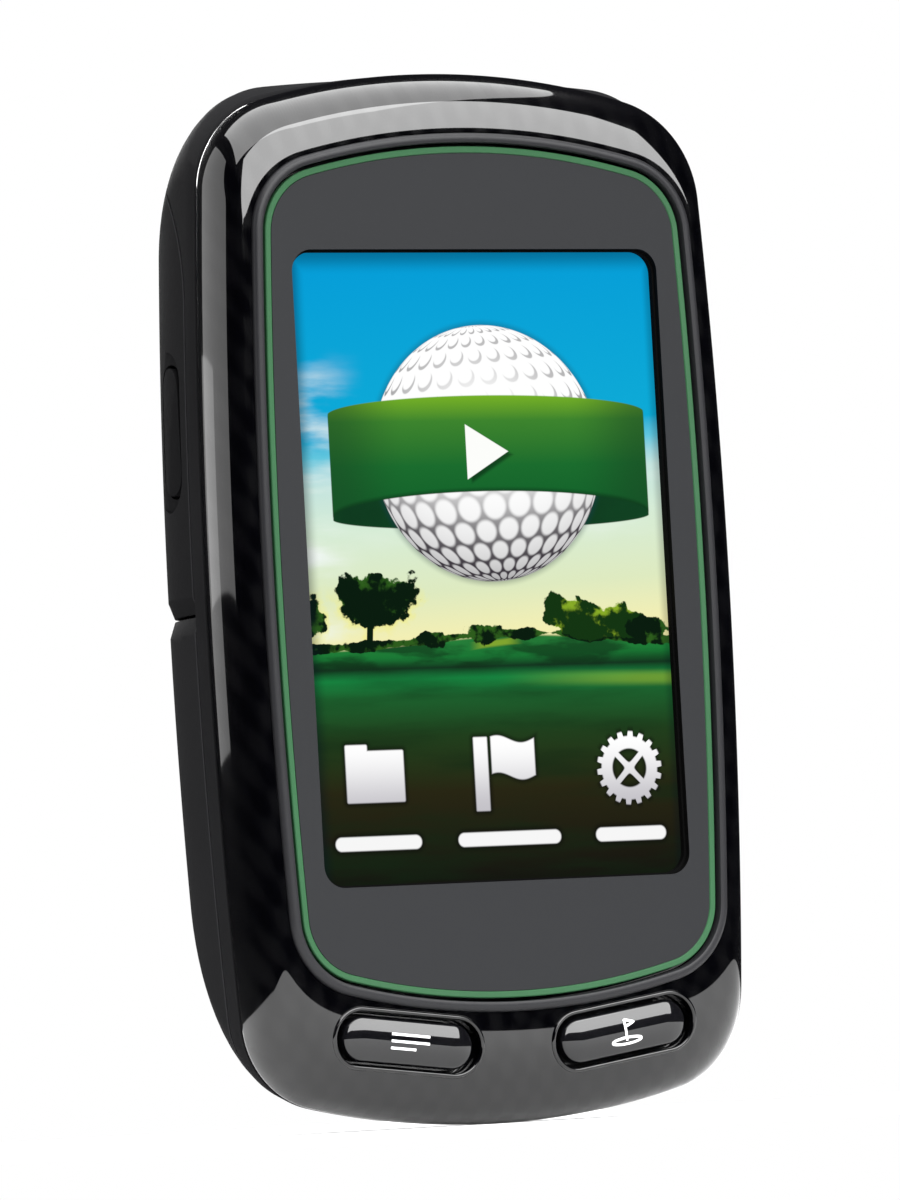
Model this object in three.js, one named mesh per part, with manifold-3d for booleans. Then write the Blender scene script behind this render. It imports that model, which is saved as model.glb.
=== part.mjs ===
// Handheld golf GPS with a portrait touch screen, built as separate pieces.
// Millimetres. +Z up, screen facing -Y, origin on the ground under the centre of the body.
// Depths are measured from the crest of the display rim towards the back.
import * as THREE from "three";
import { LoftGeometry } from "three/addons/geometries/LoftGeometry.js";
import { mergeVertices } from "three/addons/utils/BufferGeometryUtils.js";
import Module from "manifold-3d";

const wasm = await Module();
wasm.setup();

// Whole body
const BODY_DEPTH = 20;
const BODY_HALF_WIDTH = 26.05;
const BODY_TOP = 44.65; // above the centre of the display window
const BODY_BOTTOM = 49.7; // below the centre of the display window
const WIDEST_DEPTH = 5.8; // the parting line, where the body is widest
const WINDOW_Z = BODY_BOTTOM; // height of the window's centre above the ground
const SIDE_RADIUS = 584; // the long sides bulge very slightly
const BODY_SIDE_CENTRE = -2.5; // height of the bulge on the body
const TOP_RADIUS = 72;
const BACK_TOP_RADIUS = 250; // the top edge grows flatter behind the parting line
const BOTTOM_RADIUS = 78;
const CORNER_TOP = 9;
const CORNER_BOTTOM = 8.2;
const GAP = 0.3; // between neighbouring pieces

// Front face
const FACE_DEPTH = 0.5; // where the bezel starts, beside the rim
const LENS_DEPTH = 0.4;
const LENS_BACK = 1.0;
const RIM_OFFSET = 1.8; // from the accent ring to the start of the bezel's curve
const OPENING_OFFSET = 1.6;
const RING = {
  halfWidth: 21.42,
  top: 37.2,
  bottom: 38.3,
  topRadius: 65,
  bottomRadius: 65,
  cornerTop: 5.75,
  cornerBottom: 5.75,
};
const FACE_CORNER = 7.5;
const RING_WIDTH = 0.6;
const WINDOW = { width: 37, height: 56.5, corner: 2 };
const SIDE_ROUNDNESS = 2;
const TOP_ROUNDNESS = 2.2;
const CHIN_ROUNDNESS = 2.5;

// Back
const BACK_FLAT = { halfWidth: 16, top: 20, bottom: 20, corner: 11.5 };
const BACK_ROUNDNESS = { side: 3.05, top: 2.2, bottom: 1.8 };
const COVER_EDGE = 8.1; // depth of the line where the back covers start
const COVER_THICK = 1.3;
const COVER_ARCH = { start: 24, rise: 14, run: 12 }; // the covers' upper edge curves to the back
const COVER_SPLIT = -3.4; // height of the groove between the grip and the battery door
const GROOVE = { depth: 0.4, halfWidth: 1.3 };
const WALL = 1.4;

// Front keys
const KEY = { x: 10.9, z: -42.1, length: 13, width: 4.1, rise: 0.25 };
const KEY_TILTS = { score_button: 7.3, green_button: 8.1 };
const WELL = { length: 14.4, width: 4.9 };
const KEY_TRAVEL = 0.6;

// Side controls, both centred on the same height
const SIDE_Z = 13.2;
const POWER = { depth: 12, length: 11.4, width: 3.8, flange: [-21.1, -20.7], travel: 0.5 };
const PORT = { depth: 10.65, length: 9.2, width: 4.6 };
const CAP = { from: 8.25, to: 13.4, halfLength: 6.5 };

// Inside, front to back
const PANEL = { halfWidth: 19.2, halfHeight: 29.6 };
const LAYERS = {
  touch: [1.3, 1.5],
  lcd: [1.75, 2.95],
  light: [3.25, 4.45],
  frame: [2.5, 5.5],
};
const FRAME = { wall: 1.4, floor: 0.75, cableHole: { z: -12, radius: 3 } };
const LEDGE_DEPTH = 1.3;
const LEDGE_BACK = 2.1;
const BOARD = { front: 7.4, back: 8.4, halfWidth: 18.2, top: 31.2, bottom: 43.5 };
const SHELF = { front: 11.2, back: 12.1, edge: -2 };
const BAY = { halfWidth: 18.4, top: -5, bottom: -30 };
const BATTERY = { front: 12.4, back: 16.8 };
const SCREW = { upper: [20.7, 33.8], lower: [20.8, -36], head: 8.3, shank: 0.7 };
const SCREW_HEAD = { radius: 1.4, thick: 1.1, socket: 0.6 };
const SCREW_BOSS = { front: 2, rear: 2.2, well: 1.8 }; // radii round each screw
const LOCK = { z: -12, radius: 4.5, shaft: 1.3, flange: 2.5, floor: 19.1, back: 18.4, play: 0.35 };
const COIN_SLOT = { halfLength: 3.4, halfWidth: 0.6, depth: 0.4 };
const SEAL = { groove: [1.0, 2.2], ring: [1.3, 1.9], depths: [0.2, 0.7] };

// Under the front keys
const KEY_FLANGE = { from: 2.5, to: 3.1, margin: 0.8 };
const MEMBRANE = { width: 33, height: 5.4, corner: 2, from: 4.0, to: 4.5, stud: 1.2 };
const KEY_SWITCH = { halfWidth: 2.6, below: 1.4, above: 2.2, front: 5.4, back: 7.1, plunger: 1, tip: 4.8 };

// On the board; each thickness is counted from the back of the board
const SHIELD = { z: -24, width: 26, height: 18, corner: 1, thick: 1.8 };
const ANTENNA = { halfWidth: 9, bottom: 12.8, top: 30.8, thick: 4, dimple: 0.6, feed: [2, 21.8, 0.8] };
const BEEPER = { x: 4, z: 7, radius: 5, thick: 2.6 };
const USB = { from: 12.5, to: 21.7, halfHeight: 3.85, thick: 3.9, sheet: 0.4 };
const USB_TONGUE = { from: 13, to: 20.5, halfHeight: 2.6, front: 10.3, back: 11 };
const SIDE_SWITCH = { body: [0.4, 3], halfHeight: 3, back: 13.2 };
const SIDE_PLUNGER = { length: 1, halfHeight: 1.2, depths: [11.3, 12.7] };
const CONTACTS = { halfWidth: 5, bottom: -11, top: -8 };

// Points on each quarter of an outline, and rings on a curved stretch of the body
const SIDE_STEPS = 4;
const CORNER_STEPS = 5;
const END_STEPS = 5;
const FRONT_RINGS = 6;
const BACK_RINGS = 8;

const FINISHES = {
  glossBlack: { color: 0x0b0b0d, roughness: 0.12, metalness: 0 },
  rimGray: { color: 0x6d6f72, roughness: 0.45, metalness: 0 },
  lensGray: { color: 0x494a4c, roughness: 0.7, metalness: 0 },
  accentGreen: { color: 0x528a67, roughness: 0.5, metalness: 0 },
  caseBlack: { color: 0x242426, roughness: 0.75, metalness: 0 },
  rubberBlack: { color: 0x1b1b1d, roughness: 0.9, metalness: 0 },
  clear: { color: 0xdfe8ec, roughness: 0.1, metalness: 0 },
  screen: { color: 0x2f7fb0, roughness: 0.2, metalness: 0 },
  whitePlastic: { color: 0xdedede, roughness: 0.6, metalness: 0 },
  board: { color: 0x1c5a38, roughness: 0.6, metalness: 0 },
  steel: { color: 0xb4b6b8, roughness: 0.35, metalness: 1 },
  ceramic: { color: 0xc9b48a, roughness: 0.6, metalness: 0 },
  battery: { color: 0x8d9093, roughness: 0.5, metalness: 0.2 },
  silicone: { color: 0x8f9295, roughness: 0.8, metalness: 0 },
};

const device = new THREE.Group();

const mix = (a, b, t) => a + (b - a) * t;
const yAt = (depth) => depth - BODY_DEPTH / 2;
const radians = THREE.MathUtils.degToRad;

// ---- solids -------------------------------------------------------------------------------

function solidOf(geometry) {
  const bare = new THREE.BufferGeometry();
  bare.setAttribute("position", geometry.getAttribute("position"));
  bare.setIndex(geometry.index);
  const merged = mergeVertices(bare, 1e-4);
  const vertProperties = merged.attributes.position.array;
  const triVerts = new Uint32Array(merged.index.array);
  return new wasm.Manifold(new wasm.Mesh({ numProp: 3, vertProperties, triVerts }));
}

function geometryOf(solid) {
  const { vertProperties, triVerts } = solid.getMesh();
  const geometry = new THREE.BufferGeometry();
  geometry.setAttribute("position", new THREE.BufferAttribute(vertProperties, 3));
  geometry.setIndex(new THREE.BufferAttribute(triVerts, 1));
  geometry.computeVertexNormals();
  return geometry;
}

function addPiece(name, solid, finish) {
  const material = new THREE.MeshStandardMaterial(FINISHES[finish]);
  const mesh = new THREE.Mesh(geometryOf(solid), material);
  mesh.name = name;
  device.add(mesh);
}

// Skins a row of rings; each ring is an outline of [x, z] points at its own depth.
function loft(rings) {
  const sections = rings.map(({ depth, points }) =>
    points.map(([x, z]) => new THREE.Vector3(x, yAt(depth), z + WINDOW_Z)),
  );
  return solidOf(new LoftGeometry(sections, { capStart: true, capEnd: true }));
}

const prism = (points, from, to) =>
  loft([
    { depth: from, points },
    { depth: to, points },
  ]);

// A slab that runs right across the body, from its outline of [depth, z] points.
function crossBar(points, from = -40, to = 40) {
  const sections = [from, to].map((x) =>
    points.map(([depth, z]) => new THREE.Vector3(x, yAt(depth), z + WINDOW_Z)),
  );
  return solidOf(new LoftGeometry(sections, { capStart: true, capEnd: true }));
}

function block(xs, depths, zs) {
  const size = [xs, depths, zs].map(([low, high]) => high - low);
  const middle = [xs, depths, zs].map(([low, high]) => (low + high) / 2);
  const box = new THREE.BoxGeometry(...size);
  return solidOf(box.translate(middle[0], yAt(middle[1]), middle[2] + WINDOW_Z));
}

function rod(x, z, radius, from, to, sides = 20) {
  const cylinder = new THREE.CylinderGeometry(radius, radius, to - from, sides);
  return solidOf(cylinder.translate(x, yAt((from + to) / 2), z + WINDOW_Z));
}

// ---- outlines -----------------------------------------------------------------------------

// From the middle of a side to the middle of an end: a side arc, a corner and an end arc.
function quarter(halfWidth, bulge, end, endRadius, corner) {
  const sideCentre = halfWidth - SIDE_RADIUS;
  const endCentre = end - endRadius;
  const sideReach = SIDE_RADIUS - corner;
  const endReach = endRadius - corner;
  const apart = Math.hypot(sideCentre, endCentre - bulge);
  const along = (sideReach ** 2 - endReach ** 2 + apart ** 2) / (2 * apart);
  const across = Math.sqrt(sideReach ** 2 - along ** 2);
  const [ux, uz] = [-sideCentre / apart, (endCentre - bulge) / apart];
  const x = sideCentre + along * ux - across * uz;
  const z = bulge + along * uz + across * ux;
  const start = Math.asin(-bulge / SIDE_RADIUS);
  const first = Math.atan2(z - bulge, x - sideCentre);
  const second = Math.atan2(z - endCentre, x);
  const arc = (cx, cz, radius, a, b, steps) =>
    Array.from({ length: steps }, (_, i) => {
      const angle = mix(a, b, i / steps);
      return [cx + radius * Math.cos(angle), cz + radius * Math.sin(angle)];
    });
  return [
    ...arc(sideCentre, bulge, SIDE_RADIUS, start, first, SIDE_STEPS),
    ...arc(x, z, corner, first, second, CORNER_STEPS),
    ...arc(0, endCentre, endRadius, second, Math.PI / 2, END_STEPS),
    [0, end],
  ];
}

// A closed barrel outline, clockwise as seen from the front.
function outline(s) {
  const bulge = s.bulge ?? BODY_SIDE_CENTRE;
  const upper = quarter(s.halfWidth, bulge, s.top, s.topRadius, s.cornerTop);
  const lower = quarter(s.halfWidth, -bulge, s.bottom, s.bottomRadius, s.cornerBottom);
  const flip = (points, sx, sz) => points.map(([x, z]) => [sx * x, sz * z]);
  return [
    ...flip(upper, -1, 1).slice(0, -1),
    ...flip(upper, 1, 1).reverse().slice(0, -1),
    ...flip(lower, 1, -1).slice(0, -1),
    ...flip(lower, -1, -1).reverse().slice(0, -1),
  ];
}

// The accent ring's outline, moved outwards by an offset.
function ringOutline(offset) {
  const moved = Object.entries(RING).map(([key, value]) => [key, value + offset]);
  return outline({ ...Object.fromEntries(moved), bulge: 0 });
}

// A rectangle with rounded corners, turned about its own centre; a pill when the corner is half its height.
function roundedBox(x, z, width, height, corner, tilt = 0, steps = 5) {
  const points = [];
  const turn = radians(tilt);
  [
    [-1, 1, 180],
    [1, 1, 90],
    [1, -1, 0],
    [-1, -1, -90],
  ].forEach(([sx, sz, start]) => {
    for (let i = 0; i <= steps; i += 1) {
      const angle = radians(start - (90 * i) / steps);
      const px = sx * (width / 2 - corner) + corner * Math.cos(angle);
      const pz = sz * (height / 2 - corner) + corner * Math.sin(angle);
      points.push([
        x + px * Math.cos(turn) - pz * Math.sin(turn),
        z + px * Math.sin(turn) + pz * Math.cos(turn),
      ]);
    }
  });
  return points.filter(([px, pz], i) => {
    const [nx, nz] = points[(i + 1) % points.length];
    return Math.hypot(px - nx, pz - nz) > 1e-3;
  });
}

// How far the body has swelled between the rim and its widest line, 0 to 1.
const swell = (depth, roundness) => {
  const left = (WIDEST_DEPTH - depth) / (WIDEST_DEPTH - FACE_DEPTH);
  return (1 - left ** roundness) ** (1 / roundness);
};

function frontOutline(depth) {
  const side = swell(depth, SIDE_ROUNDNESS);
  return outline({
    halfWidth: mix(RING.halfWidth + RIM_OFFSET, BODY_HALF_WIDTH, side),
    top: mix(RING.top + RIM_OFFSET, BODY_TOP, swell(depth, TOP_ROUNDNESS)),
    bottom: mix(RING.bottom + RIM_OFFSET, BODY_BOTTOM, swell(depth, CHIN_ROUNDNESS)),
    topRadius: mix(RING.topRadius, TOP_RADIUS, side),
    bottomRadius: mix(RING.bottomRadius, BOTTOM_RADIUS, side),
    cornerTop: mix(FACE_CORNER, CORNER_TOP, side),
    cornerBottom: mix(FACE_CORNER, CORNER_BOTTOM, side),
    bulge: mix(0, BODY_SIDE_CENTRE, side),
  });
}

// The back half, drawn in by an inset on every side and on the back.
function backOutline(depth, inset) {
  const reach = (depth - WIDEST_DEPTH) / (BODY_DEPTH - inset - WIDEST_DEPTH);
  const run = THREE.MathUtils.clamp(reach, 0, 1);
  const taper = (roundness) => (1 - run ** roundness) ** (1 / roundness);
  const side = taper(BACK_ROUNDNESS.side);
  return outline({
    halfWidth: mix(BACK_FLAT.halfWidth, BODY_HALF_WIDTH - inset, side),
    top: mix(BACK_FLAT.top, BODY_TOP - inset, taper(BACK_ROUNDNESS.top)),
    bottom: mix(BACK_FLAT.bottom, BODY_BOTTOM - inset, taper(BACK_ROUNDNESS.bottom)),
    topRadius: mix(TOP_RADIUS, BACK_TOP_RADIUS, Math.min(1, run / 0.25)),
    bottomRadius: BOTTOM_RADIUS,
    cornerTop: mix(BACK_FLAT.corner, CORNER_TOP - inset, side),
    cornerBottom: mix(BACK_FLAT.corner, CORNER_BOTTOM - inset, side),
  });
}

function backLoft(from, inset) {
  const reach = BODY_DEPTH - inset - WIDEST_DEPTH;
  const rings = [{ depth: from, points: backOutline(from, inset) }];
  for (let i = 1; i <= BACK_RINGS; i += 1) {
    const angle = radians((90 * i) / BACK_RINGS);
    const depth = WIDEST_DEPTH + reach * Math.sin(angle) ** (2 / BACK_ROUNDNESS.side);
    if (depth > from + GAP) rings.push({ depth, points: backOutline(depth, inset) });
  }
  return loft(rings);
}

function frontLoft(to) {
  const rings = [];
  for (let i = 0; i < FRONT_RINGS; i += 1) {
    const angle = radians((90 * i) / FRONT_RINGS);
    const depth = WIDEST_DEPTH - (WIDEST_DEPTH - FACE_DEPTH) * Math.cos(angle);
    rings.push({ depth, points: frontOutline(depth) });
  }
  rings.push({ depth: to, points: frontOutline(to) });
  return loft(rings);
}

// The space in front of the covers' edge, which curves to the back near the top.
function frontOfCovers(shift) {
  const steps = 10;
  const curve = Array.from({ length: steps + 1 }, (_, i) => {
    const angle = radians((90 * i) / steps);
    return [
      COVER_EDGE + shift + COVER_ARCH.run * (1 - Math.cos(angle)),
      COVER_ARCH.start + COVER_ARCH.rise * Math.sin(angle) - shift,
    ];
  });
  const [lastDepth, lastZ] = curve[steps];
  return crossBar([
    [-5, -60],
    [COVER_EDGE + shift, -60],
    ...curve,
    [lastDepth + 5, lastZ],
    [lastDepth + 5, 60],
    [-5, 60],
  ]);
}

// ---- front half ---------------------------------------------------------------------------

const keyNames = Object.keys(KEY_TILTS);

function keyPill(name, length, width) {
  const side = name === keyNames[0] ? -1 : 1;
  return roundedBox(side * KEY.x, KEY.z, length, width, width / 2, side * KEY_TILTS[name], 6);
}

function screwSpots() {
  return [SCREW.upper, SCREW.lower].flatMap(([x, z]) => [
    [-x, z],
    [x, z],
  ]);
}

function frontBezel() {
  const back = WIDEST_DEPTH - GAP / 2;
  const inner = outline({
    halfWidth: BODY_HALF_WIDTH - 1.9,
    top: BODY_TOP - 2.2,
    bottom: BODY_BOTTOM - 2.5,
    topRadius: TOP_RADIUS,
    bottomRadius: BOTTOM_RADIUS,
    cornerTop: CORNER_TOP - 1.9,
    cornerBottom: CORNER_BOTTOM - 1.7,
  });
  let bezel = frontLoft(back).subtract(prism(inner, LEDGE_BACK, back + 1));
  const bosses = screwSpots().map(([x, z]) => rod(x, z, SCREW_BOSS.front, LEDGE_BACK - 0.1, back));
  bezel = bosses.reduce((whole, boss) => whole.add(boss), bezel);
  bezel = bezel.subtract(prism(ringOutline(OPENING_OFFSET), -1, LEDGE_DEPTH));
  bezel = bezel.subtract(prism(ringOutline(-1), -1, LEDGE_BACK + 1));
  keyNames.forEach((name) => {
    bezel = bezel.subtract(prism(keyPill(name, WELL.length, WELL.width), -1, LEDGE_BACK + 1));
  });
  screwSpots().forEach(([x, z]) => {
    bezel = bezel.subtract(rod(x, z, SCREW.shank + GAP, LEDGE_BACK + 0.6, back + 1, 12));
  });
  return bezel;
}

function displayRim() {
  const outer = loft([
    { depth: 0, points: ringOutline(0.95) },
    { depth: 0.1, points: ringOutline(1.2) },
    { depth: 0.35, points: ringOutline(OPENING_OFFSET - GAP) },
    { depth: LENS_BACK, points: ringOutline(OPENING_OFFSET - GAP) },
  ]);
  return outer.subtract(prism(ringOutline(RING_WIDTH / 2 + GAP), -1, LENS_BACK + 1));
}

function accentRing() {
  const outer = prism(ringOutline(RING_WIDTH / 2), LENS_DEPTH, LENS_BACK);
  return outer.subtract(prism(ringOutline(-RING_WIDTH / 2), -1, LENS_BACK + 1));
}

function lensMask() {
  const plate = prism(ringOutline(-RING_WIDTH / 2 - GAP), LENS_DEPTH, LENS_BACK);
  const opening = roundedBox(0, 0, WINDOW.width, WINDOW.height, WINDOW.corner);
  return plate.subtract(prism(opening, -1, LENS_BACK + 1));
}

const panel = (grow, from, to) =>
  prism(
    roundedBox(0, 0, 2 * (PANEL.halfWidth + grow), 2 * (PANEL.halfHeight + grow), 1 + grow, 0, 3),
    from,
    to,
  );

function displayFrame() {
  const [front, back] = LAYERS.frame;
  const hole = FRAME.cableHole;
  return panel(FRAME.wall, front, back)
    .subtract(panel(GAP, front - 1, back - FRAME.floor))
    .subtract(rod(0, hole.z, hole.radius, front, back + 1));
}

function addKeys() {
  const face = frontLoft(WIDEST_DEPTH - GAP).translate([0, -KEY.rise, 0]);
  keyNames.forEach((name) => {
    const stem = prism(keyPill(name, KEY.length, KEY.width), -1, KEY_FLANGE.to - 0.3).intersect(face);
    const { from, to, margin } = KEY_FLANGE;
    const flange = prism(keyPill(name, WELL.length + margin, WELL.width + margin), from, to);
    addPiece(name, stem.add(flange), "glossBlack");
  });
}

function keyMembrane() {
  const { width, height, corner, from, to, stud } = MEMBRANE;
  const sheet = prism(roundedBox(0, KEY.z, width, height, corner), from, to);
  const studTip = KEY_FLANGE.to + KEY_TRAVEL + 0.1;
  const studs = [-KEY.x, KEY.x].map((x) => rod(x, KEY.z, stud, studTip, from + 0.2, 12));
  return studs.reduce((whole, stud) => whole.add(stud), sheet);
}

function addKeySwitches() {
  [-KEY.x, KEY.x].forEach((x, i) => {
    const { halfWidth, below, above, front, back, plunger: radius, tip } = KEY_SWITCH;
    const body = block([x - halfWidth, x + halfWidth], [front, back], [KEY.z - below, KEY.z + above]);
    const plunger = rod(x, KEY.z, radius, tip, front + 0.2, 12);
    addPiece(["score_switch", "green_switch"][i], body.add(plunger), "steel");
  });
}

function addFront() {
  addPiece("front_bezel", frontBezel(), "glossBlack");
  addPiece("display_rim", displayRim(), "rimGray");
  addPiece("accent_ring", accentRing(), "accentGreen");
  addPiece("lens_mask", lensMask(), "lensGray");
  addPiece("touch_film", panel(0, ...LAYERS.touch), "clear");
  addPiece("lcd_panel", panel(0, ...LAYERS.lcd), "screen");
  addPiece("backlight_unit", panel(0, ...LAYERS.light), "whitePlastic");
  addPiece("display_frame", displayFrame(), "steel");
  addKeys();
  addPiece("key_membrane", keyMembrane(), "silicone");
  addKeySwitches();
}

// ---- electronics --------------------------------------------------------------------------

function mainBoard() {
  const height = BOARD.top + BOARD.bottom;
  const middle = (BOARD.top - BOARD.bottom) / 2;
  const board = prism(
    roundedBox(0, middle, 2 * BOARD.halfWidth, height, 6),
    BOARD.front,
    BOARD.back,
  );
  return board;
}

function usbConnector() {
  const { from, to, halfHeight, thick, sheet } = USB;
  const depths = [BOARD.back + GAP, BOARD.back + GAP + thick];
  const heights = [SIDE_Z - halfHeight, SIDE_Z + halfHeight];
  const shell = block([from, to], depths, heights);
  const mouth = block(
    [from + 1.5, to + sheet],
    [depths[0] + sheet, depths[1] - sheet],
    [heights[0] + sheet, heights[1] - sheet],
  );
  const tongue = block(
    [USB_TONGUE.from, USB_TONGUE.to],
    [USB_TONGUE.front, USB_TONGUE.back],
    [SIDE_Z - USB_TONGUE.halfHeight, SIDE_Z + USB_TONGUE.halfHeight],
  );
  return shell.subtract(mouth).add(tongue);
}

function gpsAntenna() {
  const { halfWidth, bottom, top, thick, dimple, feed } = ANTENNA;
  const front = BOARD.back + GAP;
  const patch = block([-halfWidth, halfWidth], [front, front + thick], [bottom, top]);
  return patch.subtract(rod(...feed, front + thick - dimple, front + thick + 1, 12));
}

function powerSwitch() {
  const tip = POWER.flange[1] + POWER.travel + GAP;
  const around = (half) => [SIDE_Z - half, SIDE_Z + half];
  const span = SIDE_SWITCH.body.map((x) => tip + x);
  const body = block(span, [BOARD.back + GAP, SIDE_SWITCH.back], around(SIDE_SWITCH.halfHeight));
  const { length, halfHeight, depths } = SIDE_PLUNGER;
  return body.add(block([tip, tip + length], depths, around(halfHeight)));
}

function shieldCan(front) {
  const { z, width, height, corner, thick } = SHIELD;
  return prism(roundedBox(0, z, width, height, corner), front, front + thick);
}

function batteryContacts(front) {
  const { halfWidth, bottom, top } = CONTACTS;
  return block([-halfWidth, halfWidth], [front, SHELF.back], [bottom, top]);
}

function addElectronics() {
  const rear = BOARD.back + GAP;
  addPiece("main_board", mainBoard(), "board");
  addPiece("shield_can", shieldCan(rear), "steel");
  addPiece("gps_antenna", gpsAntenna(), "ceramic");
  addPiece("beeper", rod(BEEPER.x, BEEPER.z, BEEPER.radius, rear, rear + BEEPER.thick, 24), "caseBlack");
  addPiece("usb_connector", usbConnector(), "steel");
  addPiece("power_switch", powerSwitch(), "steel");
  addPiece("battery_contacts", batteryContacts(rear), "whitePlastic");
}

// ---- back half ----------------------------------------------------------------------------

const outerBack = () => backLoft(WIDEST_DEPTH + GAP / 2, 0);

function sealGroove(from, to, depths) {
  const outer = prism(backOutline(WIDEST_DEPTH, from), ...depths);
  return outer.subtract(prism(backOutline(WIDEST_DEPTH, to), depths[0] - 1, depths[1] + 1));
}

function electronicsSpace() {
  const space = backLoft(WIDEST_DEPTH, COVER_THICK + GAP + WALL);
  return space.subtract(crossBar([
    [SHELF.front, -60],
    [BODY_DEPTH + 1, -60],
    [BODY_DEPTH + 1, SHELF.edge],
    [SHELF.front, SHELF.edge],
  ]));
}

function batteryBay() {
  const height = BAY.top - BAY.bottom;
  const middle = (BAY.top + BAY.bottom) / 2;
  const hollow = roundedBox(0, middle, 2 * BAY.halfWidth, height, 2);
  return prism(hollow, SHELF.back, BODY_DEPTH + 1);
}

// A rounded slot through the side of the case, along X.
function sideSlot(depth, length, width, from, to) {
  const points = roundedBox(0, SIDE_Z, width, length, width / 2);
  const turned = points.map(([x, z]) => [depth + x, z]).reverse();
  return crossBar(turned, Math.min(from, to), Math.max(from, to));
}

function rearCase() {
  let rear = outerBack().intersect(frontOfCovers(-GAP / 2));
  rear = rear.add(backLoft(WIDEST_DEPTH + GAP / 2, COVER_THICK + GAP));
  rear = rear.subtract(electronicsSpace());
  screwSpots().forEach(([x, z]) => {
    rear = rear.add(rod(x, z, SCREW_BOSS.rear, WIDEST_DEPTH + GAP / 2, SCREW.head + 1.5));
  });
  screwSpots().forEach(([x, z]) => {
    rear = rear.subtract(rod(x, z, SCREW.shank + GAP, 0, SCREW.head + 1, 12));
    rear = rear.subtract(rod(x, z, SCREW_BOSS.well, SCREW.head - GAP, BODY_DEPTH + 1, 16));
  });
  rear = rear.subtract(batteryBay());
  rear = rear.subtract(block([-5.3, 5.3], [10, 13], [-11.3, -7.7]));
  rear = rear.subtract(sealGroove(...SEAL.groove, [WIDEST_DEPTH - 1, WIDEST_DEPTH + 1]));
  rear = rear.subtract(sideSlot(POWER.depth, POWER.length + 0.6, POWER.width + 0.6, -40, -15));
  return rear.subtract(
    block([21.9, 40], [PORT.depth - PORT.width / 2, PORT.depth + PORT.width / 2], [
      SIDE_Z - PORT.length / 2,
      SIDE_Z + PORT.length / 2,
    ]),
  );
}

// The skin behind the covers' edge: the whole of it, before it is split in two.
function coverSkin() {
  const skin = outerBack().subtract(backLoft(WIDEST_DEPTH - 1, COVER_THICK));
  const grooveHeights = [COVER_SPLIT - GROOVE.halfWidth, COVER_SPLIT + GROOVE.halfWidth];
  const grooveFloor = backLoft(WIDEST_DEPTH - 1, GROOVE.depth);
  const groove = block([-40, 40], [0, 30], grooveHeights).subtract(grooveFloor);
  return skin.subtract(frontOfCovers(GAP / 2)).subtract(groove);
}

function capPlan(grow) {
  return crossBar(
    roundedBox(0, 0, CAP.to - CAP.from + 2 * grow, 2 * (CAP.halfLength + grow), 1.6, 0, 3)
      .map(([x, z]) => [(CAP.from + CAP.to) / 2 + x, SIDE_Z + z])
      .reverse(),
    20,
    40,
  );
}

function backGrip() {
  const upper = block([-40, 40], [0, 30], [COVER_SPLIT + GAP / 2, 60]);
  const dish = sideSlot(POWER.depth + 0.6, POWER.length + 3, POWER.width + 2.4, -40, -25.2);
  return coverSkin()
    .intersect(upper)
    .subtract(sideSlot(POWER.depth, POWER.length + 0.6, POWER.width + 0.6, -40, -15))
    .subtract(dish)
    .subtract(capPlan(GAP));
}

function powerButton() {
  const [outer, inner] = POWER.flange;
  const stem = sideSlot(POWER.depth, POWER.length, POWER.width, -25.6, inner);
  const flange = sideSlot(POWER.depth, POWER.length + 1, POWER.width + 1, outer, inner);
  return stem.intersect(outerBack()).add(flange);
}

function usbCap() {
  const flap = outerBack().subtract(backLoft(WIDEST_DEPTH - 1, COVER_THICK));
  const plugSize = [PORT.length / 2 - 0.7, PORT.width / 2 - 0.5];
  const plug = block([23.4, 25.4], [PORT.depth - plugSize[1], PORT.depth + plugSize[1]], [
    SIDE_Z - plugSize[0],
    SIDE_Z + plugSize[0],
  ]);
  return flap.intersect(capPlan(0)).add(plug);
}

function batteryDoor() {
  const lower = block([-40, 40], [0, 30], [-60, COVER_SPLIT - GAP / 2]);
  return coverSkin()
    .intersect(lower)
    .subtract(rod(0, LOCK.z, LOCK.radius + LOCK.play, LOCK.floor, BODY_DEPTH + 1, 32))
    .subtract(rod(0, LOCK.z, LOCK.shaft + LOCK.play, BATTERY.back, BODY_DEPTH + 1, 16));
}

function doorLock() {
  const disc = rod(0, LOCK.z, LOCK.radius, LOCK.floor + 0.25, BODY_DEPTH, 32);
  const shaft = rod(0, LOCK.z, LOCK.shaft, LOCK.back - GAP, LOCK.floor + 0.5, 16);
  const flange = rod(0, LOCK.z, LOCK.flange, BATTERY.back + GAP, LOCK.back, 16);
  const { halfLength, halfWidth, depth } = COIN_SLOT;
  const slot = block([-halfLength, halfLength], [BODY_DEPTH - depth, BODY_DEPTH + 1], [
    LOCK.z - halfWidth,
    LOCK.z + halfWidth,
  ]);
  return disc.add(shaft).add(flange).subtract(slot);
}

function batteryPack() {
  const height = BAY.top - BAY.bottom - 1;
  const middle = (BAY.top + BAY.bottom) / 2;
  const pack = roundedBox(0, middle, 2 * BAY.halfWidth - 1, height, 3);
  return prism(pack, BATTERY.front, BATTERY.back);
}

function addScrews() {
  screwSpots().forEach(([x, z], i) => {
    const shank = rod(x, z, SCREW.shank, LEDGE_BACK + 1, SCREW.head + 0.2, 12);
    const head = rod(x, z, SCREW_HEAD.radius, SCREW.head, SCREW.head + SCREW_HEAD.thick, 16);
    const recess = rod(x, z, SCREW_HEAD.socket, SCREW.head + 0.5, SCREW.head + 2, 6);
    addPiece(`case_screw_${i + 1}`, shank.add(head).subtract(recess), "steel");
  });
}

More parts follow.
